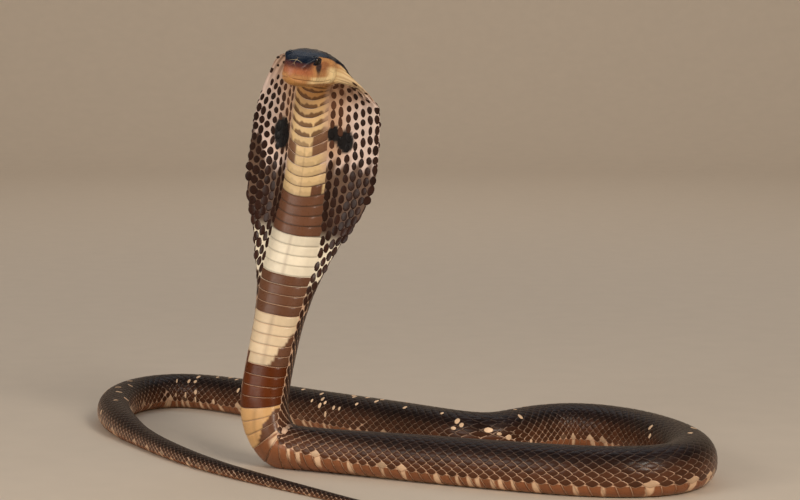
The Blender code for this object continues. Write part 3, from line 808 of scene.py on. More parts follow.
def head_colours(colours, distance, angle, height, shields, grooves):
    """Colours of the head: dark crown, warm snout and sides, pale lips and temples."""
    along = distance / MM
    degrees = degrees_from_back(angle)
    base = mouth_height(distance)
    top = np.maximum(read_curve(BODY_SIZES, distance, 2), SNOUT_HEIGHT) * MM
    share = (height - base) / (top - base)
    above = smooth_step(height - base, -0.25 * MM, 0.25 * MM)
    fore = 1 - smooth_step(along, 7.0, 13.0)
    lore = bump(along, 10.2, 3.4) * bump(degrees, 56.0, 17.0) * (1 - smooth_step(share, 0.54, 0.66))
    cheek = np.hypot((along - 18.8) / 6.0, (degrees - 74.0) / 18.0)
    upper_lip = smooth_step(along, 7.0, 11.0) * (1 - smooth_step(share, 0.12, 0.24)) * above
    lower_lip = (1 - above) * smooth_step(along, 5.0, 10.0)
    lower_lip = lower_lip * (1 - smooth_step(degrees, 112.0, 126.0))
    temple = smooth_step(along, 19.0, 26.0) * smooth_step(degrees, 73.0, 84.0)
    folds = throat_folds(along, degrees) * smooth_step(along, 27.0, 31.0)

    # The dark crown, whose blue is a painted sky reflection, which goes on as the nape's, and the
    # dark round and below the eye
    edge = 0.72 + 0.04 * fore
    crown = smooth_step(share, edge, edge + 0.15) * above
    crown = crown + (nape_dark(along, degrees) - crown) * smooth_step(along, 12.0, 16.0)
    below_eye = np.hypot((along - 14.4) / 2.8, (degrees - 75.0) / 16.0)
    round_eye = np.hypot((along - 13.2) / 3.2, (degrees - 57.0) / 14.0)
    dark = 0.90 * (1 - smooth_step(below_eye, 0.60, 1.10))
    dark = np.maximum(dark, 1 - smooth_step(round_eye, 0.9, 1.1))
    tone = painted(
        np.broadcast_to(colours["side"], along.shape + (3,)), colours,
        ("snout", fore * smooth_step(share, 0.12, 0.40) * above),
        ("dusk", fore * smooth_step(share, 0.40, 0.74) * above),
        ("lip", 0.55 * lore),
        ("cheek", 0.9 * (1 - smooth_step(cheek, 0.45, 1.05))),
        ("lip", 0.9 * upper_lip),
        ("lip", 0.70 * lower_lip),
        ("lip", 0.95 * temple * (1 - smooth_step(degrees, 114.0, 124.0))),
        # Darker stripes here are painted shade in the creases of the skin's folds
        ("side", 0.70 * folds),
        ("crown", np.maximum(crown, dark * above)),
        ("throat", (1 - above) * smooth_step(degrees, 108.0, 135.0)),
    )
    draws = np.random.default_rng(11).uniform(0.90, 1.09, shields.max() + 1)
    # Pale lines in the grooves atop the snout: the sutures' pale skin, with painted highlights of
    # the shields' edges
    pale_sutures_and_glints = bump(along, 5.2, 4.2) * (1 - smooth_step(degrees, 16.0, 30.0)) * grooves**2
    return painted(
        tone * draws[shields][..., None], colours,
        ("lip", 0.75 * pale_sutures_and_glints),
        ("scale_brown", 0.32 * (1 - smooth_step(share, 0.50, 0.70)) * grooves),
    )


def mouth_height(distance):
    """How far above the spine the line of the mouth runs."""
    along, up = zip(*MOUTH_LINE)
    return np.interp(distance / MM, along, up) * MM


def shield_seeds():
    """Middles of the head's shields on the surface, their reach, and which lie above the mouth."""
    rows = [(*row, True) for row in UPPER_SHIELDS] + [(*row, False) for row in LOWER_SHIELDS]
    first, last, long, wide = GULAR_ROWS
    for index, along in enumerate(np.arange(first, last, long)):
        girth = 2 * read_curve(BODY_SIZES, along * MM, 1)
        step = math.degrees(wide / girth) * 1.55
        start = 180 - step * 0.5 * (index % 2)
        rows += [(along, turn, -0.1, False) for turn in np.arange(start, 124, -step)]
    seeds = []
    for along, degrees, push, upper in rows:
        for side in ((1,) if degrees in (0, 180) else (1, -1)):
            seeds.append((along * MM, side * math.radians(degrees), push * MM, upper))
    places = np.array([seed[:2] for seed in seeds])
    push = np.array([seed[2] for seed in seeds])
    upper = np.array([seed[3] for seed in seeds])
    return surface(places[:, 0], places[:, 1]), push, upper


def head_detail(points, distance, angle, height, sizes):
    """How far the head's skin stands out, in metres, with the shields and their grooves."""
    seeds, push, upper = shield_seeds()
    above = height > mouth_height(distance)
    away = np.linalg.norm(points[..., None, :] - seeds, axis=-1) - push
    away = away + np.where(above[..., None] == upper, 0.0, 1.0)
    shields = away.argmin(axis=-1)
    nearest = np.partition(away, 1, axis=-1)
    gap = nearest[..., 1] - nearest[..., 0]
    fade = 1 - smooth_step(distance, *SHIELDS_END)
    grooves = np.exp(-((gap / GROOVE_WIDTH) ** 2)) * fade
    lift = -sizes.shield_groove * grooves
    from_mouth = (height - mouth_height(distance)) / MOUTH_WIDTH
    mouth = np.exp(-(from_mouth**2)) * (1 - smooth_step(distance, *MOUTH_CORNER))
    lift = lift - sizes.mouth_depth * mouth
    degrees = degrees_from_back(angle)
    brow = [
        ((value - middle) / reach) ** 2
        for value, middle, reach in zip((distance / MM, degrees), BROW_PLACE, BROW_REACH)
    ]
    lift = lift + sizes.brow_ridge * np.exp(-sum(brow))
    for side in (1, -1):
        nostril = surface(NOSTRIL_PLACE[0], side * math.radians(NOSTRIL_PLACE[1]))
        rings = [(eye_place(side)[0], *EYE_RING)] + [(nostril, *ring) for ring in NOSTRIL_RINGS]
        for middle, rise, radius, wide in rings:
            off = np.linalg.norm(points - middle, axis=-1) / MM
            lift = lift + rise * MM * np.exp(-(((off - radius) / wide) ** 2))
    return lift, shields, np.maximum(grooves, mouth)


def eye_place(side):
    """The middle of an eye and the direction that it looks in."""
    distance, degrees = EYE_PLACE
    point, _, outward, _ = lie_of(np.array([distance]), np.array([side * math.radians(degrees)]))
    return point[0] - outward[0] * EYE_SUNK, outward[0]


def around(points):
    """Directions out of a closed tube of rings."""
    round_way = np.roll(points, -1, axis=1) - np.roll(points, 1, axis=1)
    along = np.gradient(points, axis=0)
    return unit(np.cross(round_way, along))


def ring_turns(distance, count):
    """Angles from the back of evenly spaced points round each section."""
    share = np.linspace(0.0, 2.0, count, endpoint=False)
    mirrored = np.where(share <= 1, share, 2 - share)
    turn = GIRTH.turn_at(*np.broadcast_arrays(distance[:, None], mirrored[None, :]))
    return np.where(share <= 1, turn, 2 * np.pi - turn)


def store(mesh, name, kind, values, domain="POINT"):
    """A named attribute of the mesh, from an array."""
    made = mesh.attributes.new(name, kind, domain)
    field = {"FLOAT": "value", "INT": "value", "FLOAT_VECTOR": "vector", "FLOAT_COLOR": "color"}
    made.data.foreach_set(field[kind], np.ascontiguousarray(values).ravel())


def store_tint(mesh, name, tones):
    """A colour attribute of the mesh, from an array of tones."""
    values = np.ones((len(tones), 4))
    values[:, :3] = np.clip(tones, 0.0, 1.0)
    store(mesh, name, "FLOAT_COLOR", values)


def new_object(name, data):
    """An object in the scene."""
    made = bpy.data.objects.new(name, data)
    bpy.context.scene.collection.objects.link(made)
    return made


def new_piece(name, mesh, finish, nodes=()):
    """An object of the model, which rides on the body and stands for CAD nodes."""
    made = new_object(name, mesh)
    if finish is not None:
        mesh.materials.clear()
        mesh.materials.append(finish)
    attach(made, "root")
    if nodes:
        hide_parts(*nodes)
    return made


def mesh_of(name, points, faces):
    """A smoothly shaded mesh of the points and faces."""
    mesh = bpy.data.meshes.new(name)
    mesh.from_pydata(points.tolist(), [], faces)
    mesh.validate()
    mesh.shade_smooth()
    return mesh


def ring_faces(counts):
    """Faces between rings of points, where a ring may have half as many as the one before."""
    faces = []
    start = 0
    for count, following in zip(counts, counts[1:]):
        here, there = np.arange(count) + start, np.arange(following) + start + count
        if count == following:
            after, beyond = np.roll(here, -1), np.roll(there, -1)
            faces += np.column_stack([here, after, beyond, there]).tolist()
        else:
            pairs = here.reshape(-1, 2)
            last = np.roll(pairs[:, 0], -1)
            beyond = np.roll(there, -1)
            faces += np.column_stack([pairs, last, beyond, there]).tolist()
        start += count
    return faces


def skin_mesh(context):
    """The whole skin as one closed mesh, with its colour and gloss at each point."""
    sizes, colours = context.scene.cobra_sizes, colour_table(context)
    points, tints, gloss, counts = [], [], [], []
    for start, end, count, rings in SKIN_BANDS:
        share = np.linspace(0.0, 1.0, rings + 1)
        if start == 0:
            share = (np.exp(SNOUT_BUNCHING * share) - 1) / (math.exp(SNOUT_BUNCHING) - 1)
        places = start + (end - start) * share
        places = places if start == 0 else places[1:]
        turns = ring_turns(places, count)
        distance = np.broadcast_to(places[:, None], turns.shape)
        band = surface(distance, turns)
        outward = around(band)
        lift = -sizes.coat_depth * smooth_step(distance, *COAT_START)
        tone = body_colours(colours, distance, turns, False)
        shine = np.full(turns.shape, 0.25)
        if start == 0:
            _, height = section(distance, turns)
            detail, shields, grooves = head_detail(band, distance, turns, height, sizes)
            lift = lift + detail
            head = head_colours(colours, distance, turns, height, shields, grooves)
            tone = mix(head, tone, smooth_step(distance, 0.0325, 0.0358))
            shine = 1 - 0.6 * smooth_step(distance, 0.028, 0.036)
        band = kept_up(band + outward * lift[..., None], distance)
        points.append(band.reshape(-1, 3))
        tints.append(tone.reshape(-1, 3))
        gloss.append(np.broadcast_to(shine, turns.shape).ravel())
        counts += [count] * len(places)
    count = SKIN_BANDS[0][2]
    snout = points[0][:count]
    middle = snout.mean(axis=0)
    ahead = -SPINE.read(np.array([0.001]))[1][0] * SNOUT_BULGE
    caps = [middle + (snout - middle) * part + ahead * (1 - part**2) for part in SNOUT_CAP]
    tip = points[-1][-SKIN_BANDS[-1][2]:]
    points = np.vstack(caps + points + [(middle + ahead)[None], tip.mean(axis=0)[None]])
    tints = np.vstack([tints[0][:count]] * len(caps) + tints + [tints[0][:1], tints[-1][-1:]])
    ends = [np.ones(count * len(caps))] + gloss + [np.ones(1), np.zeros(1)]
    counts = [count] * len(caps) + counts
    faces = ring_faces(counts)
    total = sum(counts)
    faces += [(total, (i + 1) % count, i) for i in range(count)]
    last = total - counts[-1]
    faces += [(total + 1, last + i, last + (i + 1) % counts[-1]) for i in range(counts[-1])]
    mesh = mesh_of("skin", points, faces)
    store_tint(mesh, "tint", tints)
    store(mesh, "gloss", "FLOAT", np.concatenate(ends))
    return mesh


def scale_shape(power, bend, name):
    """One scale as a closed plate, one unit long and wide: it is domed, bent and lifted."""
    turn = np.linspace(0.0, 2 * np.pi, SCALE_POINTS, endpoint=False)
    outline = np.column_stack([
        np.sign(np.cos(turn)) * np.abs(np.cos(turn)) ** (2 / power),
        np.sign(np.sin(turn)) * np.abs(np.sin(turn)) ** (2 / power),
    ]) / 2
    points, rims = [], []
    for size, up, rim in SCALE_RINGS:
        points += [(a * size, b * size, up) for a, b in outline]
        rims += [rim] * SCALE_POINTS
    points.append((0.0, 0.0, SCALE_TOP))
    rims.append(0.0)
    points = np.array(points)
    points[:, 2] += SCALE_LIFT * points[:, 0] - bend * 4 * points[:, 1] ** 2 * 0.5
    n = SCALE_POINTS
    faces = [tuple(range(n))[::-1]]
    for ring in (0, 1):
        for i in range(n):
            j = (i + 1) % n
            faces.append((ring * n + i, ring * n + j, ring * n + n + j, ring * n + n + i))
    faces += [(3 * n, 2 * n + i, 2 * n + (i + 1) % n) for i in range(n)]
    mesh = mesh_of(name, points, faces)
    store(mesh, "rim", "FLOAT", np.array(rims))
    spot = np.column_stack([points[:, 1], points[:, 0], np.zeros(len(points))])
    store(mesh, "spot", "FLOAT_VECTOR", spot)
    return mesh


def scale_roots(context, start, end):
    """Roots of the scales between two distances, as arrays for the scattering tree."""
    sizes, colours = context.scene.cobra_sizes, colour_table(context)
    found = ROWS.roots(start, end)
    rows, side, distance = (np.array(column) for column in zip(*found))
    turn, ahead, behind = np.zeros((3, len(found)))
    width = np.zeros(len(found))
    step = 0.8 * MM
    for row in np.unique(rows):
        here = rows == row
        turn[here] = ROWS.turn(row, distance[here])
        ahead[here] = ROWS.turn(row, distance[here] - step)
        behind[here] = ROWS.turn(row, distance[here] + step)
        for hand in (1, -1):
            one = here & (side == hand)
            width[one] = np.interp(distance[one], ROWS.places, ROWS.widths[hand][row])
    angle = turn * side
    point, _, outward, stretch = lie_of(distance, angle)
    tailward = unit(
        surface(distance + step, behind * side) - surface(distance - step, ahead * side)
    )
    draws = np.random.default_rng(5)
    pitch = read_curve(PITCH, distance) * MM
    even = smooth_step(distance, *EVEN_ROWS)
    loose = bump(distance, *LOOSE)[:, None]
    drawn = 1 + draws.uniform(-HOOD_VARIES, HOOD_VARIES, (len(found), 2)) * loose
    back = smooth_step(np.cos(angle), 0.0, 0.4) * even * (0.5 + 0.5 * bump(distance, 0.03, 0.03))
    streak = (np.cos(angle) < 0) * (1 - smooth_step(distance, STREAKS[2] - 0.02, STREAKS[2]))
    x, _ = section(distance, angle)
    from_throat = width_share(distance, x)
    streak = streak * (1 - smooth_step(from_throat, 1.4, 2.0))
    share = [read_curve(FILL, distance, k + 1) for k in (0, 1)]
    share = [part + (full - part) * back for part, full in zip(share, BACK_FILL)]
    share = [part * (1 + (more - 1) * streak) for part, more in zip(share, STREAKS)]
    least = np.where(distance < SQUEEZED[1], SQUEEZED[0], 0.0)
    long = pitch * (np.maximum(stretch, least) * (1 - even) + even) * share[1] * drawn[:, 0]
    near, _, facing, _ = lie_of(distance, angle + 0.03)
    bent = np.linalg.norm(facing - outward, axis=1) / np.linalg.norm(near - point, axis=1)
    wide = np.minimum(width * share[0] * drawn[:, 1], 1.15 / bent)
    thick = sizes.scale_thickness * read_curve(THICKNESS, distance)
    thick = thick * np.clip(wide / (3.6 * MM), 0.4, 1.0)
    inset = sizes.coat_depth * smooth_step(distance, *COAT_START)
    point = point - outward * (inset - 0.24 * thick)[:, None]
    sideways = np.cross(outward, tailward)
    astray = draws.uniform(-1.0, 1.0, (len(found), 3)) * loose
    point = point + HOOD_JITTER * (sideways * astray[:, :1] + tailward * astray[:, 1:2])
    tailward = unit(tailward + HOOD_TWIST * sideways * astray[:, 2:])
    tone = body_colours(colours, distance, angle, True)
    edge = body_colours(colours, distance, angle, False)
    edge = mix(edge, tone, 1 - smooth_step(distance, 0.168, 0.215))
    high = 1 - smooth_step(np.abs(folded(angle)), 0.55, 1.50)
    edge = mix(edge, tone, 0.60 * high)
    tone = tone * draws.uniform(0.75, 1.30, len(found))[:, None]
    outline = read_curve(OUTLINE, distance)
    shape = np.clip(np.round(outline + (3.4 - outline) * back), 0, 4).astype(int)
    roots = {
        "co": point, "outward": outward, "tailward": tailward,
        "size": np.column_stack([long, wide, thick]), "tint": tone, "edge": edge,
        "shape": shape, "patch": bake_place(distance, angle, start, end),
    }
    return with_flecks(roots, colours, fleck_mask(distance, angle, draws), draws)


def with_flecks(roots, colours, chosen, draws):
    """Adds a small pale fleck near the tip of each chosen scale."""
    fleck = {key: values[chosen].copy() for key, values in roots.items()}
    long, _, thick = fleck["size"].T
    ahead = draws.uniform(0.10, 0.30, chosen.sum()) * long
    fleck["co"] += fleck["tailward"] * ahead[:, None] + fleck["outward"] * 0.62 * thick[:, None]
    fleck["size"] *= FLECK_SIZE * draws.uniform(0.7, 1.35, (chosen.sum(), 3))
    pale = colours["flank_cream"] * draws.uniform(0.75, 1.05, chosen.sum())[:, None]
    fleck["tint"], fleck["edge"] = pale, pale
    fleck["shape"][:] = 1
    return {key: np.concatenate([values, fleck[key]]) for key, values in roots.items()}


def fleck_mask(distance, angle, draws):
    """Which scales carry a pale fleck: loose patches across the far lengths of the body."""
    along = distance / MM
    patches = 0.5 + 0.5 * np.sin(along / 23.0 + 1.7 * np.sin(angle * 1.3))
    chance = 0.02 + 0.16 * smooth_step(patches, 0.62, 0.95)
    return draws.uniform(0.0, 1.0, len(distance)) < chance * between(along, *FLECKED)


def bake_place(distance, angle, start, end):
    """Places on a flat unwrap of the skin's own shape, in strips side by side."""
    first, last = max(start, 0.020), min(end, SCALES_END)
    girth = 2 * GIRTH.read(GIRTH.half, (first + last) / 2)
    strips = max(1, round(math.sqrt((last - first) / girth)))
    share = np.clip((distance - first) / (last - first), 0.0, 0.9999) * strips
    strip = np.floor(share)
    turn = ((angle + np.pi) % (2 * np.pi)) / (2 * np.pi)
    return np.column_stack([
        0.01 + 0.98 * (strip + 0.02 + 0.96 * turn) / strips,
        0.01 + 0.98 * (share - strip), np.zeros(len(distance)),
    ])


def enabled(sockets, name):
    """The socket of that name that is in use: a node may have several for its data types."""
    return next(socket for socket in sockets if socket.name == name and socket.enabled)


def add_node(tree, kind, inputs=None, **settings):
    """A node with its settings. Each of its inputs takes a value or another node's output."""
    made = tree.nodes.new(kind)
    for name, setting in settings.items():
        setattr(made, name, setting)
    for name, source in (inputs or {}).items():
        socket = enabled(made.inputs, name) if isinstance(name, str) else made.inputs[name]
        if isinstance(source, bpy.types.NodeSocket):
            tree.links.new(source, socket)
        else:
            socket.default_value = source
    return made


def add_sockets(tree, inputs, outputs):
    """The inputs of a tree, with their kinds and default values, and its outputs."""
    for name, kind, value in inputs:
        socket = tree.interface.new_socket(
            name, in_out="INPUT", socket_type=f"NodeSocket{kind}"
        )
        if value is not None:
            socket.default_value = value
    for name, kind in outputs:
        tree.interface.new_socket(name, in_out="OUTPUT", socket_type=f"NodeSocket{kind}")


def read_attribute(tree, name, kind):
    """A named attribute of the geometry."""
    made = add_node(tree, "GeometryNodeInputNamedAttribute", {"Name": name}, data_type=kind)
    return enabled(made.outputs, "Attribute")


def scatter_tree():
    """The tree that sets a scale on every root, realizes them and gives them their finish."""
    tree = bpy.data.node_groups.get("Lay Scales")
    if tree:
        return tree
    tree = bpy.data.node_groups.new("Lay Scales", "GeometryNodeTree")
    add_sockets(tree, [
        ("Geometry", "Geometry", None), ("Scale Shapes", "Collection", None),
        ("Finish", "Material", None), ("Patch Size", "Float", PATCH_SIZE),
        ("Size Variation", "Float", 0.05), ("Seed", "Int", 3),
    ], [("Geometry", "Geometry")])
    given = tree.nodes.new("NodeGroupInput").outputs
    shapes = add_node(tree, "GeometryNodeCollectionInfo", {
        "Collection": given["Scale Shapes"], "Separate Children": True, "Reset Children": True,
    })
    turn = add_node(tree, "FunctionNodeAxesToRotation", {
        0: read_attribute(tree, "outward", "FLOAT_VECTOR"),
        1: read_attribute(tree, "tailward", "FLOAT_VECTOR"),
    }, primary_axis="Z", secondary_axis="X")

    # Each scale's own size varies a little about the one that its root gives
    least, most = (
        add_node(tree, "ShaderNodeMath", {0: 1.0, 1: given["Size Variation"]}, operation=way)
        for way in ("SUBTRACT", "ADD")
    )
    draw = add_node(tree, "FunctionNodeRandomValue", {
        "Min": least.outputs[0], "Max": most.outputs[0], "Seed": given["Seed"],
    }, data_type="FLOAT")
    grown = add_node(tree, "ShaderNodeVectorMath", {
        0: read_attribute(tree, "size", "FLOAT_VECTOR"), "Scale": enabled(draw.outputs, "Value"),
    }, operation="SCALE")
    lay = add_node(tree, "GeometryNodeInstanceOnPoints", {
        "Points": given["Geometry"], "Instance": shapes.outputs[0], "Pick Instance": True,
        "Instance Index": read_attribute(tree, "shape", "INT"), "Rotation": turn.outputs[0],
        "Scale": grown.outputs[0],
    })
    solid = add_node(tree, "GeometryNodeRealizeInstances", {0: lay.outputs[0]})

    # The unwrap for baking: each scale is a small patch at its root's own place
    small = add_node(tree, "ShaderNodeVectorMath", {
        0: read_attribute(tree, "spot", "FLOAT_VECTOR"), "Scale": given["Patch Size"],
    }, operation="SCALE")
    placed = add_node(tree, "ShaderNodeVectorMath", {
        0: small.outputs[0], 1: read_attribute(tree, "patch", "FLOAT_VECTOR"),
    }, operation="ADD")
    unwrap = add_node(tree, "GeometryNodeStoreNamedAttribute", {
        "Geometry": solid.outputs[0], "Name": "OFBake", "Value": placed.outputs[0],
    }, data_type="FLOAT2", domain="CORNER")
    finish = add_node(tree, "GeometryNodeSetMaterial", {
        "Geometry": unwrap.outputs[0], "Material": given["Finish"],
    })
    add_node(tree, "NodeGroupOutput", {0: finish.outputs[0]})
    return tree


def lay_scales(context, name, start, end, shapes, finish):
    """One length of the coat, laid by Geometry Nodes and turned into a plain mesh."""
    roots = scale_roots(context, start, end)
    points = bpy.data.meshes.new(f"{name}_roots")
    points.vertices.add(len(roots["co"]))
    points.vertices.foreach_set("co", roots["co"].ravel())
    for key in ("outward", "tailward", "size", "patch"):
        store(points, key, "FLOAT_VECTOR", roots[key])
    store(points, "shape", "INT", roots["shape"])
    store_tint(points, "tint", roots["tint"])
    store_tint(points, "edge", roots["edge"])
    holder = new_object(f"{name}_roots", points)
    tree = scatter_tree()
    modifier = holder.modifiers.new("Lay Scales", "NODES")
    modifier.node_group = tree
    sockets = {
        item.name: item.identifier for item in tree.interface.items_tree if item.in_out == "INPUT"
    }
    modifier[sockets["Scale Shapes"]] = shapes
    modifier[sockets["Finish"]] = finish
    modifier[sockets["Patch Size"]] = PATCH_SIZE
    context.view_layer.update()
    graph = context.evaluated_depsgraph_get()
    mesh = bpy.data.meshes.new_from_object(holder.evaluated_get(graph))
    bpy.data.objects.remove(holder, do_unlink=True)
    for unused in ("outward", "tailward", "size", "patch", "shape", "spot"):
        if unused in mesh.attributes:
            mesh.attributes.remove(mesh.attributes[unused])
    mesh.name = name
    if not mesh.polygons:
        raise RuntimeError(f"{name} has no scales")
    places = np.empty(len(mesh.vertices) * 3, np.float32)
    mesh.vertices.foreach_get("co", places)
    places = places.reshape(-1, 3)
    places[:, 2] = np.maximum(places[:, 2], 0.0)
    mesh.vertices.foreach_set("co", places.ravel())
    mesh.shade_smooth()
    return new_piece(name, mesh, None)


def scute_centres():
    """Distances of the belly scutes, one to each scale of the row beside them."""
    phase = np.interp(SCUTES_START, ROWS.places, ROWS.plain_phase)
    last = np.interp(SCUTES_END, ROWS.places, ROWS.plain_phase)
    return np.interp(np.arange(np.ceil(phase), last), ROWS.plain_phase, ROWS.places)


def scute_colours(colours, middle, distance, angle, fore, draws):
    """Colours of one belly scute: its band, and what the flank lays over its ends."""
    x, _ = section(distance, angle)
    across = x / MM
    width = width_share(distance, x)
    side = width * np.sign(across)
    here = middle / MM
    phase = draws.uniform(0.0, 2 * np.pi, 3)
    wave = np.sin(across * 0.55 + phase[0]) + 0.7 * np.sin(across * 1.15 + phase[1])
    wave = wave + 0.5 * np.sin(across * 2.1 + phase[2])
    drift = np.sin(across * 0.22 + phase[0]) * smooth_step(width, 0.35, 0.8) * (120 < here < 300)
    tone = column_colour(colours, middle + 2.6 * MM * drift)
    if here < CREAM_END:
        tone = mix(tone, colours["throat"], 0.9 * (1 - smooth_step(here, 55.0, 92.0)))
        starts = 0.50 - 0.09 * wave
        rear = smooth_step(fore, starts, starts + 0.16)
        broken = smooth_step(wave, -2.0, -1.2) * (1 - 0.75 * smooth_step(here, 88.0, 102.0))
        tone = mix(tone, colours["mark"], 0.86 * rear * broken * smooth_step(here, 36, 46))
        ends = smooth_step(width, 0.70, 0.96) * (1 - smooth_step(here, 112.0, 124.0))
        tone = mix(tone, 0.5 * (colours["hood_skin"] + colours["throat"]), 0.6 * ends)
    beside = smooth_step(width, 0.34, 0.42) * (across > 0) * (91 < here < 107)
    beside = beside + smooth_step(width, 0.40, 0.50) * (across < 0) * (97 < here < 112)
    tone = mix(tone, colours["scute_brown"], 0.92 * np.clip(beside, 0.0, 1.0))
    for first, last, wide, narrow in BAND_CUTS:
        if first < here < last:
            part = (distance / MM - first) / (last - first)
            cut = wide + (narrow - wide) * part + 0.05 * wave
            tone = mix(tone, colours["scute_brown"], smooth_step(side, cut, cut + 0.06))
    if here > COLUMN_END:
        pale = blotches(distance / MM) * smooth_step(width, 0.50, 0.80)
        tone = mix(tone, colours["flank_cream"], 0.92 * pale)
        under = smooth_step(here, 330.0, 380.0) * (1 - smooth_step(width, 0.40, 0.70))
        tone = mix(tone, colours["cream"], 0.75 * under)
    # A thin darker line down the middle of the column: painted shade of the crease there
    centre = np.exp(-((across / 0.45) ** 2)) * (95 < here < 308)
    tone = mix(tone, colours["scute_brown"], 0.25 * centre)
    # Each scute darkens towards its rear edge: painted shade along the line where it overlaps the
    # next
    tone = tone * (1 - 0.50 * smooth_step(fore, 0.90, 1.0))[..., None]
    return tone * draws.uniform(0.88, 1.10)


def scute_mesh(context):
    """The belly scutes, each a closed plate with a raised rear edge that sweeps forward."""
    sizes, colours = context.scene.cobra_sizes, colour_table(context)
    draws = np.random.default_rng(17)
    fore, rise = np.array(SCUTE_PROFILE).T
    count = len(SCUTE_PROFILE)
    points, faces, tints, places = [], [], [], []
    for middle in scute_centres():
        pitch = read_curve(PITCH, middle) * MM
        stations = 49 if middle < 0.13 else 25 if middle < 0.34 else 15
        across = np.linspace(-1.0, 1.0, stations)
        edge = GIRTH.read(GIRTH.edge_turn, middle)
        angle = np.pi - across * (np.pi - edge)
        sweep = read_curve(SCUTE_SWEEP, middle) * pitch * np.abs(across) ** 2.4
        distance = middle + pitch * (fore[None, :] - 0.5) - sweep[:, None]
        distance = np.clip(distance, 0.030, TOTAL_LENGTH)
        turns = np.broadcast_to(angle[:, None], distance.shape)
        point, _, outward, _ = lie_of(distance, turns)
        taper = 1 - 0.65 * smooth_step(np.abs(across), 0.86, 1.0)
        height = np.where(
            rise > 0, sizes.scute_rise * rise, sizes.scute_sunk * rise
        )[None, :] * np.where(rise > 0, taper[:, None], 1.0)
        inset = sizes.coat_depth * smooth_step(distance, *COAT_START)
        lifted = point + outward * (height + 0.05 * MM - inset)[..., None]
        if middle > VENT:
            median = np.exp(-((across / 0.10) ** 2))
            lifted = lifted - outward * (0.25 * MM * median)[:, None, None]
        start = sum(len(block) for block in points)
        points.append(kept_up(lifted, distance).reshape(-1, 3))
        laid = np.broadcast_to(fore[None, :], distance.shape)
        tone = scute_colours(colours, middle, distance, turns, laid, draws)
        tints.append(tone.reshape(-1, 3))
        places.append(bake_place(distance.ravel(), turns.ravel(), 0.03, SCUTES_END + 0.02)[:, :2])
        grid = np.arange(stations * count).reshape(stations, count) + start
        here, there = grid[:-1], grid[1:]
        after_here, after_there = np.roll(here, -1, axis=1), np.roll(there, -1, axis=1)
        sides = np.stack([here, there, after_there, after_here], axis=-1)
        faces += sides.reshape(-1, 4).tolist()
        faces.append(grid[0].tolist())
        faces.append(grid[-1][::-1].tolist())
    mesh = mesh_of("belly_scutes", np.vstack(points), faces)
    tidy = bmesh.new()
    tidy.from_mesh(mesh)
    bmesh.ops.recalc_face_normals(tidy, faces=tidy.faces)
    tidy.to_mesh(mesh)
    tidy.free()
    store_tint(mesh, "tint", np.vstack(tints))
    layer = mesh.uv_layers.new(name="OFBake")
    corners = np.empty(len(mesh.loops), np.int32)
    mesh.loops.foreach_get("vertex_index", corners)
    layer.data.foreach_set("uv", np.vstack(places)[corners].ravel())
    mesh.shade_smooth()
    mesh.set_sharp_from_angle(angle=math.radians(50))
    return mesh


def eye_mesh(name, side):
    """A smooth eyeball, with how far each point lies from the middle of its pupil."""
    centre, outward = eye_place(side)
    shape = bmesh.new()
    bmesh.ops.create_uvsphere(
        shape, u_segments=EYE_SEGMENTS, v_segments=EYE_SEGMENTS // 2, radius=EYE_RADIUS
    )
    turn = Vector((0, 0, 1)).rotation_difference(Vector(outward))
    bmesh.ops.rotate(shape, matrix=turn.to_matrix(), verts=shape.verts)
    bmesh.ops.translate(shape, vec=Vector(centre), verts=shape.verts)
    mesh = bpy.data.meshes.new(name)
    shape.to_mesh(mesh)
    shape.free()
    points = np.array([vertex.co[:] for vertex in mesh.vertices])
    store(mesh, "look", "FLOAT", unit(points - centre) @ outward)
    mesh.shade_smooth()
    return mesh


def colour_table(context):
    """The colours of the property group as arrays."""
    group = context.scene.cobra_colours
    return {name: np.array(getattr(group, name)[:]) for name in group.__annotations__}


def grain_group():
    """Colour, roughness and height of a skin that varies finely over its surface."""
    tree = bpy.data.node_groups.get("Skin Grain")
    if tree:
        return tree
    tree = bpy.data.node_groups.new("Skin Grain", "ShaderNodeTree")
    add_sockets(tree, [
        ("Tint", "Color", None), ("Edge Tint", "Color", None), ("Edge Mask", "Float", 0.0),
        ("Mottle Scale", "Float", 220.0), ("Mottle", "Float", 0.25),
        ("Fine Scale", "Float", 1500.0), ("Smooth", "Float", 0.25), ("Rough", "Float", 0.50),
    ], [("Color", "Color"), ("Roughness", "Float"), ("Height", "Float")])
    given = tree.nodes.new("NodeGroupInput").outputs
    place = tree.nodes.new("ShaderNodeTexCoord").outputs["Object"]
    mottle = add_node(tree, "ShaderNodeTexNoise", {
        "Vector": place, "Scale": given["Mottle Scale"], "Detail": 4.0,
    })
    fine = add_node(tree, "ShaderNodeTexNoise", {
        "Vector": place, "Scale": given["Fine Scale"], "Detail": 3.0,
    })

    # The tint is lighter and darker about itself, by up to half the mottle either way
    centred = add_node(
        tree, "ShaderNodeMath", {0: mottle.outputs["Fac"], 1: 0.5}, operation="SUBTRACT"
    )
    strength = add_node(tree, "ShaderNodeMath", {
        0: centred.outputs[0], 1: given["Mottle"], 2: 1.0,
    }, operation="MULTIPLY_ADD")
    edged = add_node(tree, "ShaderNodeMix", {
        "Factor": given["Edge Mask"], "A": given["Tint"], "B": given["Edge Tint"],
    }, data_type="RGBA")
    toned = add_node(tree, "ShaderNodeVectorMath", {
        0: enabled(edged.outputs, "Result"), "Scale": strength.outputs[0],
    }, operation="SCALE")
    rough = add_node(tree, "ShaderNodeMapRange", {
        "Value": fine.outputs["Fac"], "From Min": 0.3, "From Max": 0.7,
        "To Min": given["Smooth"], "To Max": given["Rough"],
    })
    add_node(tree, "NodeGroupOutput", {
        "Color": toned.outputs[0], "Roughness": rough.outputs[0], "Height": fine.outputs["Fac"],
    })
    return tree


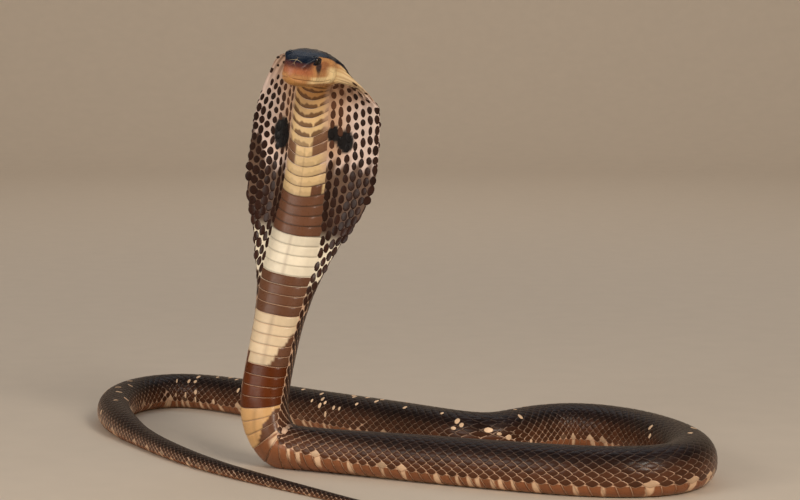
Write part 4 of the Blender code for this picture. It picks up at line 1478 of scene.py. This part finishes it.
def new_material(name, values):
    """A material with these values on its shader, its tree and the inputs of that shader."""
    made = bpy.data.materials.new(name)
    made.use_nodes = True
    shader = made.node_tree.nodes["Principled BSDF"].inputs
    for socket, value in values.items():
        shader[socket].default_value = value
    return made, made.node_tree, shader


def attribute_of(tree, name):
    """The outputs of a named attribute in a material."""
    return add_node(tree, "ShaderNodeAttribute", attribute_name=name).outputs


def finish_of(name, smooth, rough, mottle, relief, coat, shine, rim_from=None, fine=1500.0):
    """A material that reads a piece's tint and, where it has one, its pale rim."""
    found = bpy.data.materials.get(name)
    if found:
        return found
    made, tree, shader = new_material(name, {
        "Metallic": 0.0, "Specular IOR Level": shine, "Coat Weight": coat, "Coat Roughness": 0.16,
    })
    grain = add_node(tree, "ShaderNodeGroup", {
        "Smooth": smooth, "Rough": rough, "Mottle": mottle, "Fine Scale": fine,
        "Tint": attribute_of(tree, "tint")["Color"],
    }, node_tree=grain_group())
    if rim_from is not None:
        mask = add_node(tree, "ShaderNodeMapRange", {
            "Value": attribute_of(tree, "rim")["Fac"], "From Min": rim_from, "From Max": 1.0,
        })
        tree.links.new(attribute_of(tree, "edge")["Color"], grain.inputs["Edge Tint"])
        tree.links.new(mask.outputs[0], grain.inputs["Edge Mask"])
    raised = add_node(tree, "ShaderNodeBump", {
        "Strength": relief, "Distance": 0.0002, "Height": grain.outputs["Height"],
    })
    tree.links.new(grain.outputs["Color"], shader["Base Color"])
    tree.links.new(grain.outputs["Roughness"], shader["Roughness"])
    tree.links.new(raised.outputs["Normal"], shader["Normal"])
    return made


def skin_finish():
    """Bare skin: rougher between the scales, polished on the shields of the head."""
    made = finish_of(
        "Bare Skin", smooth=0.42, rough=0.60, mottle=0.30, relief=0.35, coat=0.0, shine=0.20,
        fine=900.0,
    )
    tree = made.node_tree
    rough = tree.nodes["Principled BSDF"].inputs["Roughness"]
    polished = add_node(tree, "ShaderNodeMath", {
        0: attribute_of(tree, "gloss")["Fac"], 1: -0.22, 2: rough.links[0].from_socket,
    }, operation="MULTIPLY_ADD")
    tree.links.new(polished.outputs[0], rough)
    return made


def eye_finish(context):
    """A dark wet eye: black pupil in a deep brown iris, under a clear polish."""
    made, tree, shader = new_material("Polished Eye", {
        "Roughness": 0.06, "Specular IOR Level": 0.30, "Coat Weight": 0.15, "Coat Roughness": 0.03,
    })
    iris = add_node(tree, "ShaderNodeValToRGB", {"Fac": attribute_of(tree, "look")["Fac"]})
    stops = iris.color_ramp.elements
    for stop, place in zip(stops, (IRIS_RIM[0], PUPIL_RIM[1])):
        stop.position = place
        stop.color = (0.003, 0.003, 0.003, 1.0)
    for place in (IRIS_RIM[1], PUPIL_RIM[0]):
        stops.new(place).color = (*context.scene.cobra_colours.iris, 1.0)
    tree.links.new(iris.outputs["Color"], shader["Base Color"])
    return made


def floor_finish(context):
    """A plain pale ground with a very faint grain."""
    made, tree, shader = new_material("Pale Ground", {"Roughness": 0.85})
    noise = add_node(tree, "ShaderNodeTexNoise", {
        "Vector": tree.nodes.new("ShaderNodeTexCoord").outputs["Object"],
        "Scale": 35.0, "Detail": 6.0,
    })
    grain = add_node(tree, "ShaderNodeValToRGB", {"Fac": noise.outputs["Fac"]})
    ground = np.array(context.scene.cobra_studio.ground[:])
    grain.color_ramp.elements[0].color = (*(ground * 0.96), 1.0)
    grain.color_ramp.elements[1].color = (*np.minimum(ground * 1.04, 1.0), 1.0)
    tree.links.new(grain.outputs["Color"], shader["Base Color"])
    return made


def length_property(name, description, default):
    """A length in metres."""
    return bpy.props.FloatProperty(
        name=name, description=description, default=default, min=0.0, subtype="DISTANCE",
        unit="LENGTH", precision=5,
    )


def colour_property(name, description, default):
    """A colour in linear values."""
    return bpy.props.FloatVectorProperty(
        name=name, description=description, default=default, size=3, min=0.0, max=1.0,
        subtype="COLOR",
    )


class CobraSizes(bpy.types.PropertyGroup):
    coat_depth: length_property(
        "Coat Depth", "How far the skin lies under the tops of the scales", 0.35 * MM
    )
    scale_thickness: length_property("Scale Thickness", "Height of one body scale", 0.50 * MM)
    scute_rise: length_property("Scute Rise", "How far a belly scute's rear edge stands", 0.30 * MM)
    scute_sunk: length_property("Scute Root", "How deep a belly scute is rooted", 0.60 * MM)
    shield_groove: length_property("Shield Groove", "Depth between the head's shields", 0.13 * MM)
    brow_ridge: length_property("Brow Ridge", "How far the brow stands over the eye", 0.35 * MM)
    mouth_depth: length_property("Mouth Line", "Depth of the closed mouth's line", 0.55 * MM)


class CobraColours(bpy.types.PropertyGroup):
    cream: colour_property("Cream", "Cream of the throat and belly", (0.69, 0.50, 0.265))
    white_band: colour_property("White Band", "Palest band of the belly", (0.86, 0.78, 0.62))
    pale_band: colour_property("Pale Band", "Lower pale band of the belly", (0.78, 0.62, 0.42))
    tan_band: colour_property("Tan Band", "Lowest pale band of the belly", (0.74, 0.44, 0.19))
    mark: colour_property("Throat Marks", "Broken bars across the throat", (0.100, 0.038, 0.013))
    throat: colour_property("Throat", "Tan of chin and throat", (0.47, 0.235, 0.078))
    scute_brown: colour_property("Brown Band", "Brown bands of the belly", (0.150, 0.064, 0.034))
    chestnut: colour_property("Chestnut Band", "Dark lower bands", (0.112, 0.024, 0.003))
    flank_brown: colour_property("Flank", "Ends of the belly scutes", (0.29, 0.110, 0.047))
    flank_cream: colour_property("Flank Cream", "Pale blotches of the flank", (0.87, 0.61, 0.40))
    hood_skin: colour_property("Hood Skin", "Stretched skin of the hood", (0.76, 0.61, 0.55))
    hood_scale: colour_property("Hood Scales", "Scales of the hood", (0.024, 0.009, 0.0055))
    scale_brown: colour_property("Neck Scales", "Scales of neck and nape", (0.036, 0.013, 0.008))
    trunk_scale: colour_property("Trunk Scales", "Upper scales", (0.011, 0.0045, 0.0035))
    flank_scale: colour_property("Flank Scales", "Lower scales of the trunk", (0.100, 0.037, 0.017))
    outline: colour_property("Outline", "Pale net between the scales", (0.76, 0.51, 0.35))
    spot: colour_property("Spots", "Black spots of the hood", (0.007, 0.006, 0.007))
    # The crown is near black; the blue in its colour is a painted reflection of the sky
    crown: colour_property("Crown", "Dark top of the head", (0.004, 0.009, 0.022))
    dusk: colour_property("Dusk", "Purple brown between crown and snout", (0.085, 0.030, 0.026))
    snout: colour_property("Snout", "Warm tip of the snout", (0.42, 0.145, 0.066))
    cheek: colour_property("Cheek", "Red brown behind the eye", (0.33, 0.135, 0.060))
    side: colour_property("Side", "Tan sides of the head", (0.52, 0.26, 0.105))
    lip: colour_property("Lips", "Pale shields along the mouth", (0.87, 0.68, 0.376))
    iris: colour_property("Iris", "Ring round the pupil", (0.022, 0.010, 0.005))


class CobraStudio(bpy.types.PropertyGroup):
    ground: colour_property("Ground", "Colour of floor and backdrop", (0.62, 0.54, 0.45))
    key: bpy.props.FloatProperty(name="Key", description="Warm light from the front", default=26.0)
    fill: bpy.props.FloatProperty(name="Fill", description="Soft light opposite it", default=14.0)
    sky: bpy.props.FloatProperty(name="Sky", description="Cool light from above", default=3.5)
    wall: bpy.props.FloatProperty(name="Wall", description="Light on the backdrop", default=45.0)


# The nodes that the skin stands for
FLESH = [
    "head", "lower_jaw", "nape", "hood", "neck", "neck_base", "trunk_front",
    "trunk_right_turn_near", "trunk_right_turn_far", "trunk_middle", "trunk_far", "trunk_rear",
    "trunk_left_turn_far", "trunk_left_turn_near", "trunk_end", "tail_root", "tail_middle",
    "tail_tip",
]


class COBRA_OT_skin(bpy.types.Operator):
    """Make the skin of the whole animal, with the shields of its head"""
    bl_idname = "cobra.skin"
    bl_label = "Make Skin"

    def execute(self, context):
        new_piece("skin", skin_mesh(context), skin_finish(), FLESH)
        return {"FINISHED"}


class COBRA_OT_eyes(bpy.types.Operator):
    """Make both eyes"""
    bl_idname = "cobra.eyes"
    bl_label = "Make Eyes"

    def execute(self, context):
        finish = eye_finish(context)
        for name, side in (("eye_left", 1), ("eye_right", -1)):
            ball = f"{name}_ball"
            new_piece(ball, eye_mesh(ball, side), finish, [name])
        return {"FINISHED"}


class COBRA_OT_belly_scutes(bpy.types.Operator):
    """Make the broad scutes of the belly, from the throat to the tail"""
    bl_idname = "cobra.belly_scutes"
    bl_label = "Make Belly Scutes"

    def execute(self, context):
        finish = finish_of(
            "Belly Scute", smooth=0.24, rough=0.40, mottle=0.26, relief=0.20, coat=0.05,
            shine=0.20, fine=700.0,
        )
        new_piece("belly_scutes", scute_mesh(context), finish)
        return {"FINISHED"}


class COBRA_OT_scales(bpy.types.Operator):
    """Lay the rows of scales over the skin, one length of the body after another"""
    bl_idname = "cobra.scales"
    bl_label = "Lay Scales"

    def execute(self, context):
        shapes = bpy.data.collections.new("scale_shapes")
        made = []
        for index, (power, bend) in enumerate(zip(OUTLINE_POWERS, SCALE_BENDS)):
            name = f"scale_shape_{index}"
            shape = bpy.data.objects.new(name, scale_shape(power, bend, name))
            shapes.objects.link(shape)
            made.append(shape)
        finish = finish_of(
            "Smooth Scale", smooth=0.24, rough=0.42, mottle=0.34, relief=0.25, coat=0.06,
            shine=0.15, rim_from=0.58,
        )
        for name, (start, end, slot) in COATS.items():
            lay_scales(context, name, start, end, shapes, finish)
        for shape in made:
            bpy.data.objects.remove(shape, do_unlink=True)
        bpy.data.collections.remove(shapes)
        return {"FINISHED"}


def make_floor(context):
    """The floor, which curves up into a backdrop on all sides."""
    steps = np.linspace(0.0, math.pi / 2, 13)
    curve = [
        (STAGE_FLAT + STAGE_CURVE * math.sin(t), STAGE_CURVE * (1 - math.cos(t))) for t in steps
    ]
    profile = [(STAGE_FLAT * 0.5, 0.0), *curve, (STAGE_FLAT + STAGE_CURVE, STAGE_HEIGHT)]
    turns = np.linspace(0.0, 2 * np.pi, STAGE_SIDES, endpoint=False)
    rings = [[(r * math.cos(t), r * math.sin(t), z) for t in turns] for r, z in profile]
    faces = [tuple(reversed(face)) for face in ring_faces([STAGE_SIDES] * len(profile))]
    faces.append(tuple(range(STAGE_SIDES)))
    mesh = mesh_of("floor", np.array(rings).reshape(-1, 3), faces)
    mesh.materials.append(floor_finish(context))
    floor = new_object("floor", mesh)


def make_lamps(context):
    """A warm key, a fill, a cool sky and three lamps that wash the backdrop."""
    studio = context.scene.cobra_studio
    lamps = [
        ("key", (0.9, -1.7, 1.2), LAMP_AIM, 0.6, studio.key, (1.0, 0.90, 0.78)),
        ("fill", (-1.5, -1.2, 0.8), LAMP_AIM, 1.0, studio.fill, (1.0, 0.95, 0.88)),
        ("sky", (0.2, 0.9, 1.7), LAMP_AIM, 1.6, studio.sky, (0.74, 0.85, 1.0)),
    ]
    for degrees in (90, 210, 330):
        x, y = math.cos(math.radians(degrees)), math.sin(math.radians(degrees))
        place, ahead = (2.0 * x, 2.0 * y, 3.0), (4.4 * x, 4.4 * y, 0.9)
        lamps.append((f"wall_{degrees}", place, ahead, 2.4, studio.wall, (1.0, 0.90, 0.79)))
    for name, place, towards, size, power, colour in lamps:
        lamp = bpy.data.lights.new(name, "AREA")
        lamp.size, lamp.energy, lamp.color = size, power, colour
        holder = new_object(name, lamp)
        holder.location = place
        way = Vector(towards) - Vector(place)
        holder.rotation_euler = way.to_track_quat("-Z", "Y").to_euler()
    world = bpy.data.worlds.new("studio")
    world.use_nodes = True
    background = world.node_tree.nodes["Background"].inputs
    background["Color"].default_value = (0.95, 0.92, 0.88, 1.0)
    background["Strength"].default_value = 0.12
    context.scene.world = world
    context.scene.view_settings.view_transform = "Standard"


def make_camera(context):
    """The camera, which stands and looks as the photograph's did."""
    camera = bpy.data.cameras.new("camera")
    camera.lens, camera.sensor_width = CAMERA_LENS, 36.0
    camera.clip_start, camera.clip_end = 0.05, 50.0
    holder = new_object("camera", camera)
    holder.location = CAMERA_PLACE
    holder.rotation_euler = (math.radians(90 - CAMERA_PITCH), 0.0, 0.0)
    context.scene.camera = holder


class COBRA_OT_stage(bpy.types.Operator):
    """Make the floor, the lights and the camera"""
    bl_idname = "cobra.stage"
    bl_label = "Make Stage"

    def execute(self, context):
        make_floor(context)
        make_lamps(context)
        make_camera(context)
        return {"FINISHED"}


OPERATORS = (COBRA_OT_skin, COBRA_OT_eyes, COBRA_OT_belly_scutes, COBRA_OT_scales, COBRA_OT_stage)


class COBRA_PT_panel(bpy.types.Panel):
    """Sizes, colours and steps of the cobra model"""
    bl_idname = "COBRA_PT_panel"
    bl_label = "Cobra"
    bl_space_type = "VIEW_3D"
    bl_region_type = "UI"
    bl_category = "Cobra"

    def draw(self, context):
        for group in (
            context.scene.cobra_sizes, context.scene.cobra_colours, context.scene.cobra_studio
        ):
            box = self.layout.box()
            for name in group.__annotations__:
                box.prop(group, name)
        for operator in OPERATORS:
            self.layout.operator(operator.bl_idname)


CLASSES = (CobraSizes, CobraColours, CobraStudio, *OPERATORS, COBRA_PT_panel)


def register():
    for kind in CLASSES:
        bpy.utils.register_class(kind)
    bpy.types.Scene.cobra_sizes = bpy.props.PointerProperty(type=CobraSizes)
    bpy.types.Scene.cobra_colours = bpy.props.PointerProperty(type=CobraColours)
    bpy.types.Scene.cobra_studio = bpy.props.PointerProperty(type=CobraStudio)


def unregister():
    del bpy.types.Scene.cobra_studio
    del bpy.types.Scene.cobra_colours
    del bpy.types.Scene.cobra_sizes
    for kind in reversed(CLASSES):
        bpy.utils.unregister_class(kind)


def main():
    register()
    bpy.ops.cobra.skin()
    bpy.ops.cobra.eyes()
    bpy.ops.cobra.belly_scutes()
    bpy.ops.cobra.scales()
    bpy.ops.cobra.stage()


if __name__ == "__main__":
    main()
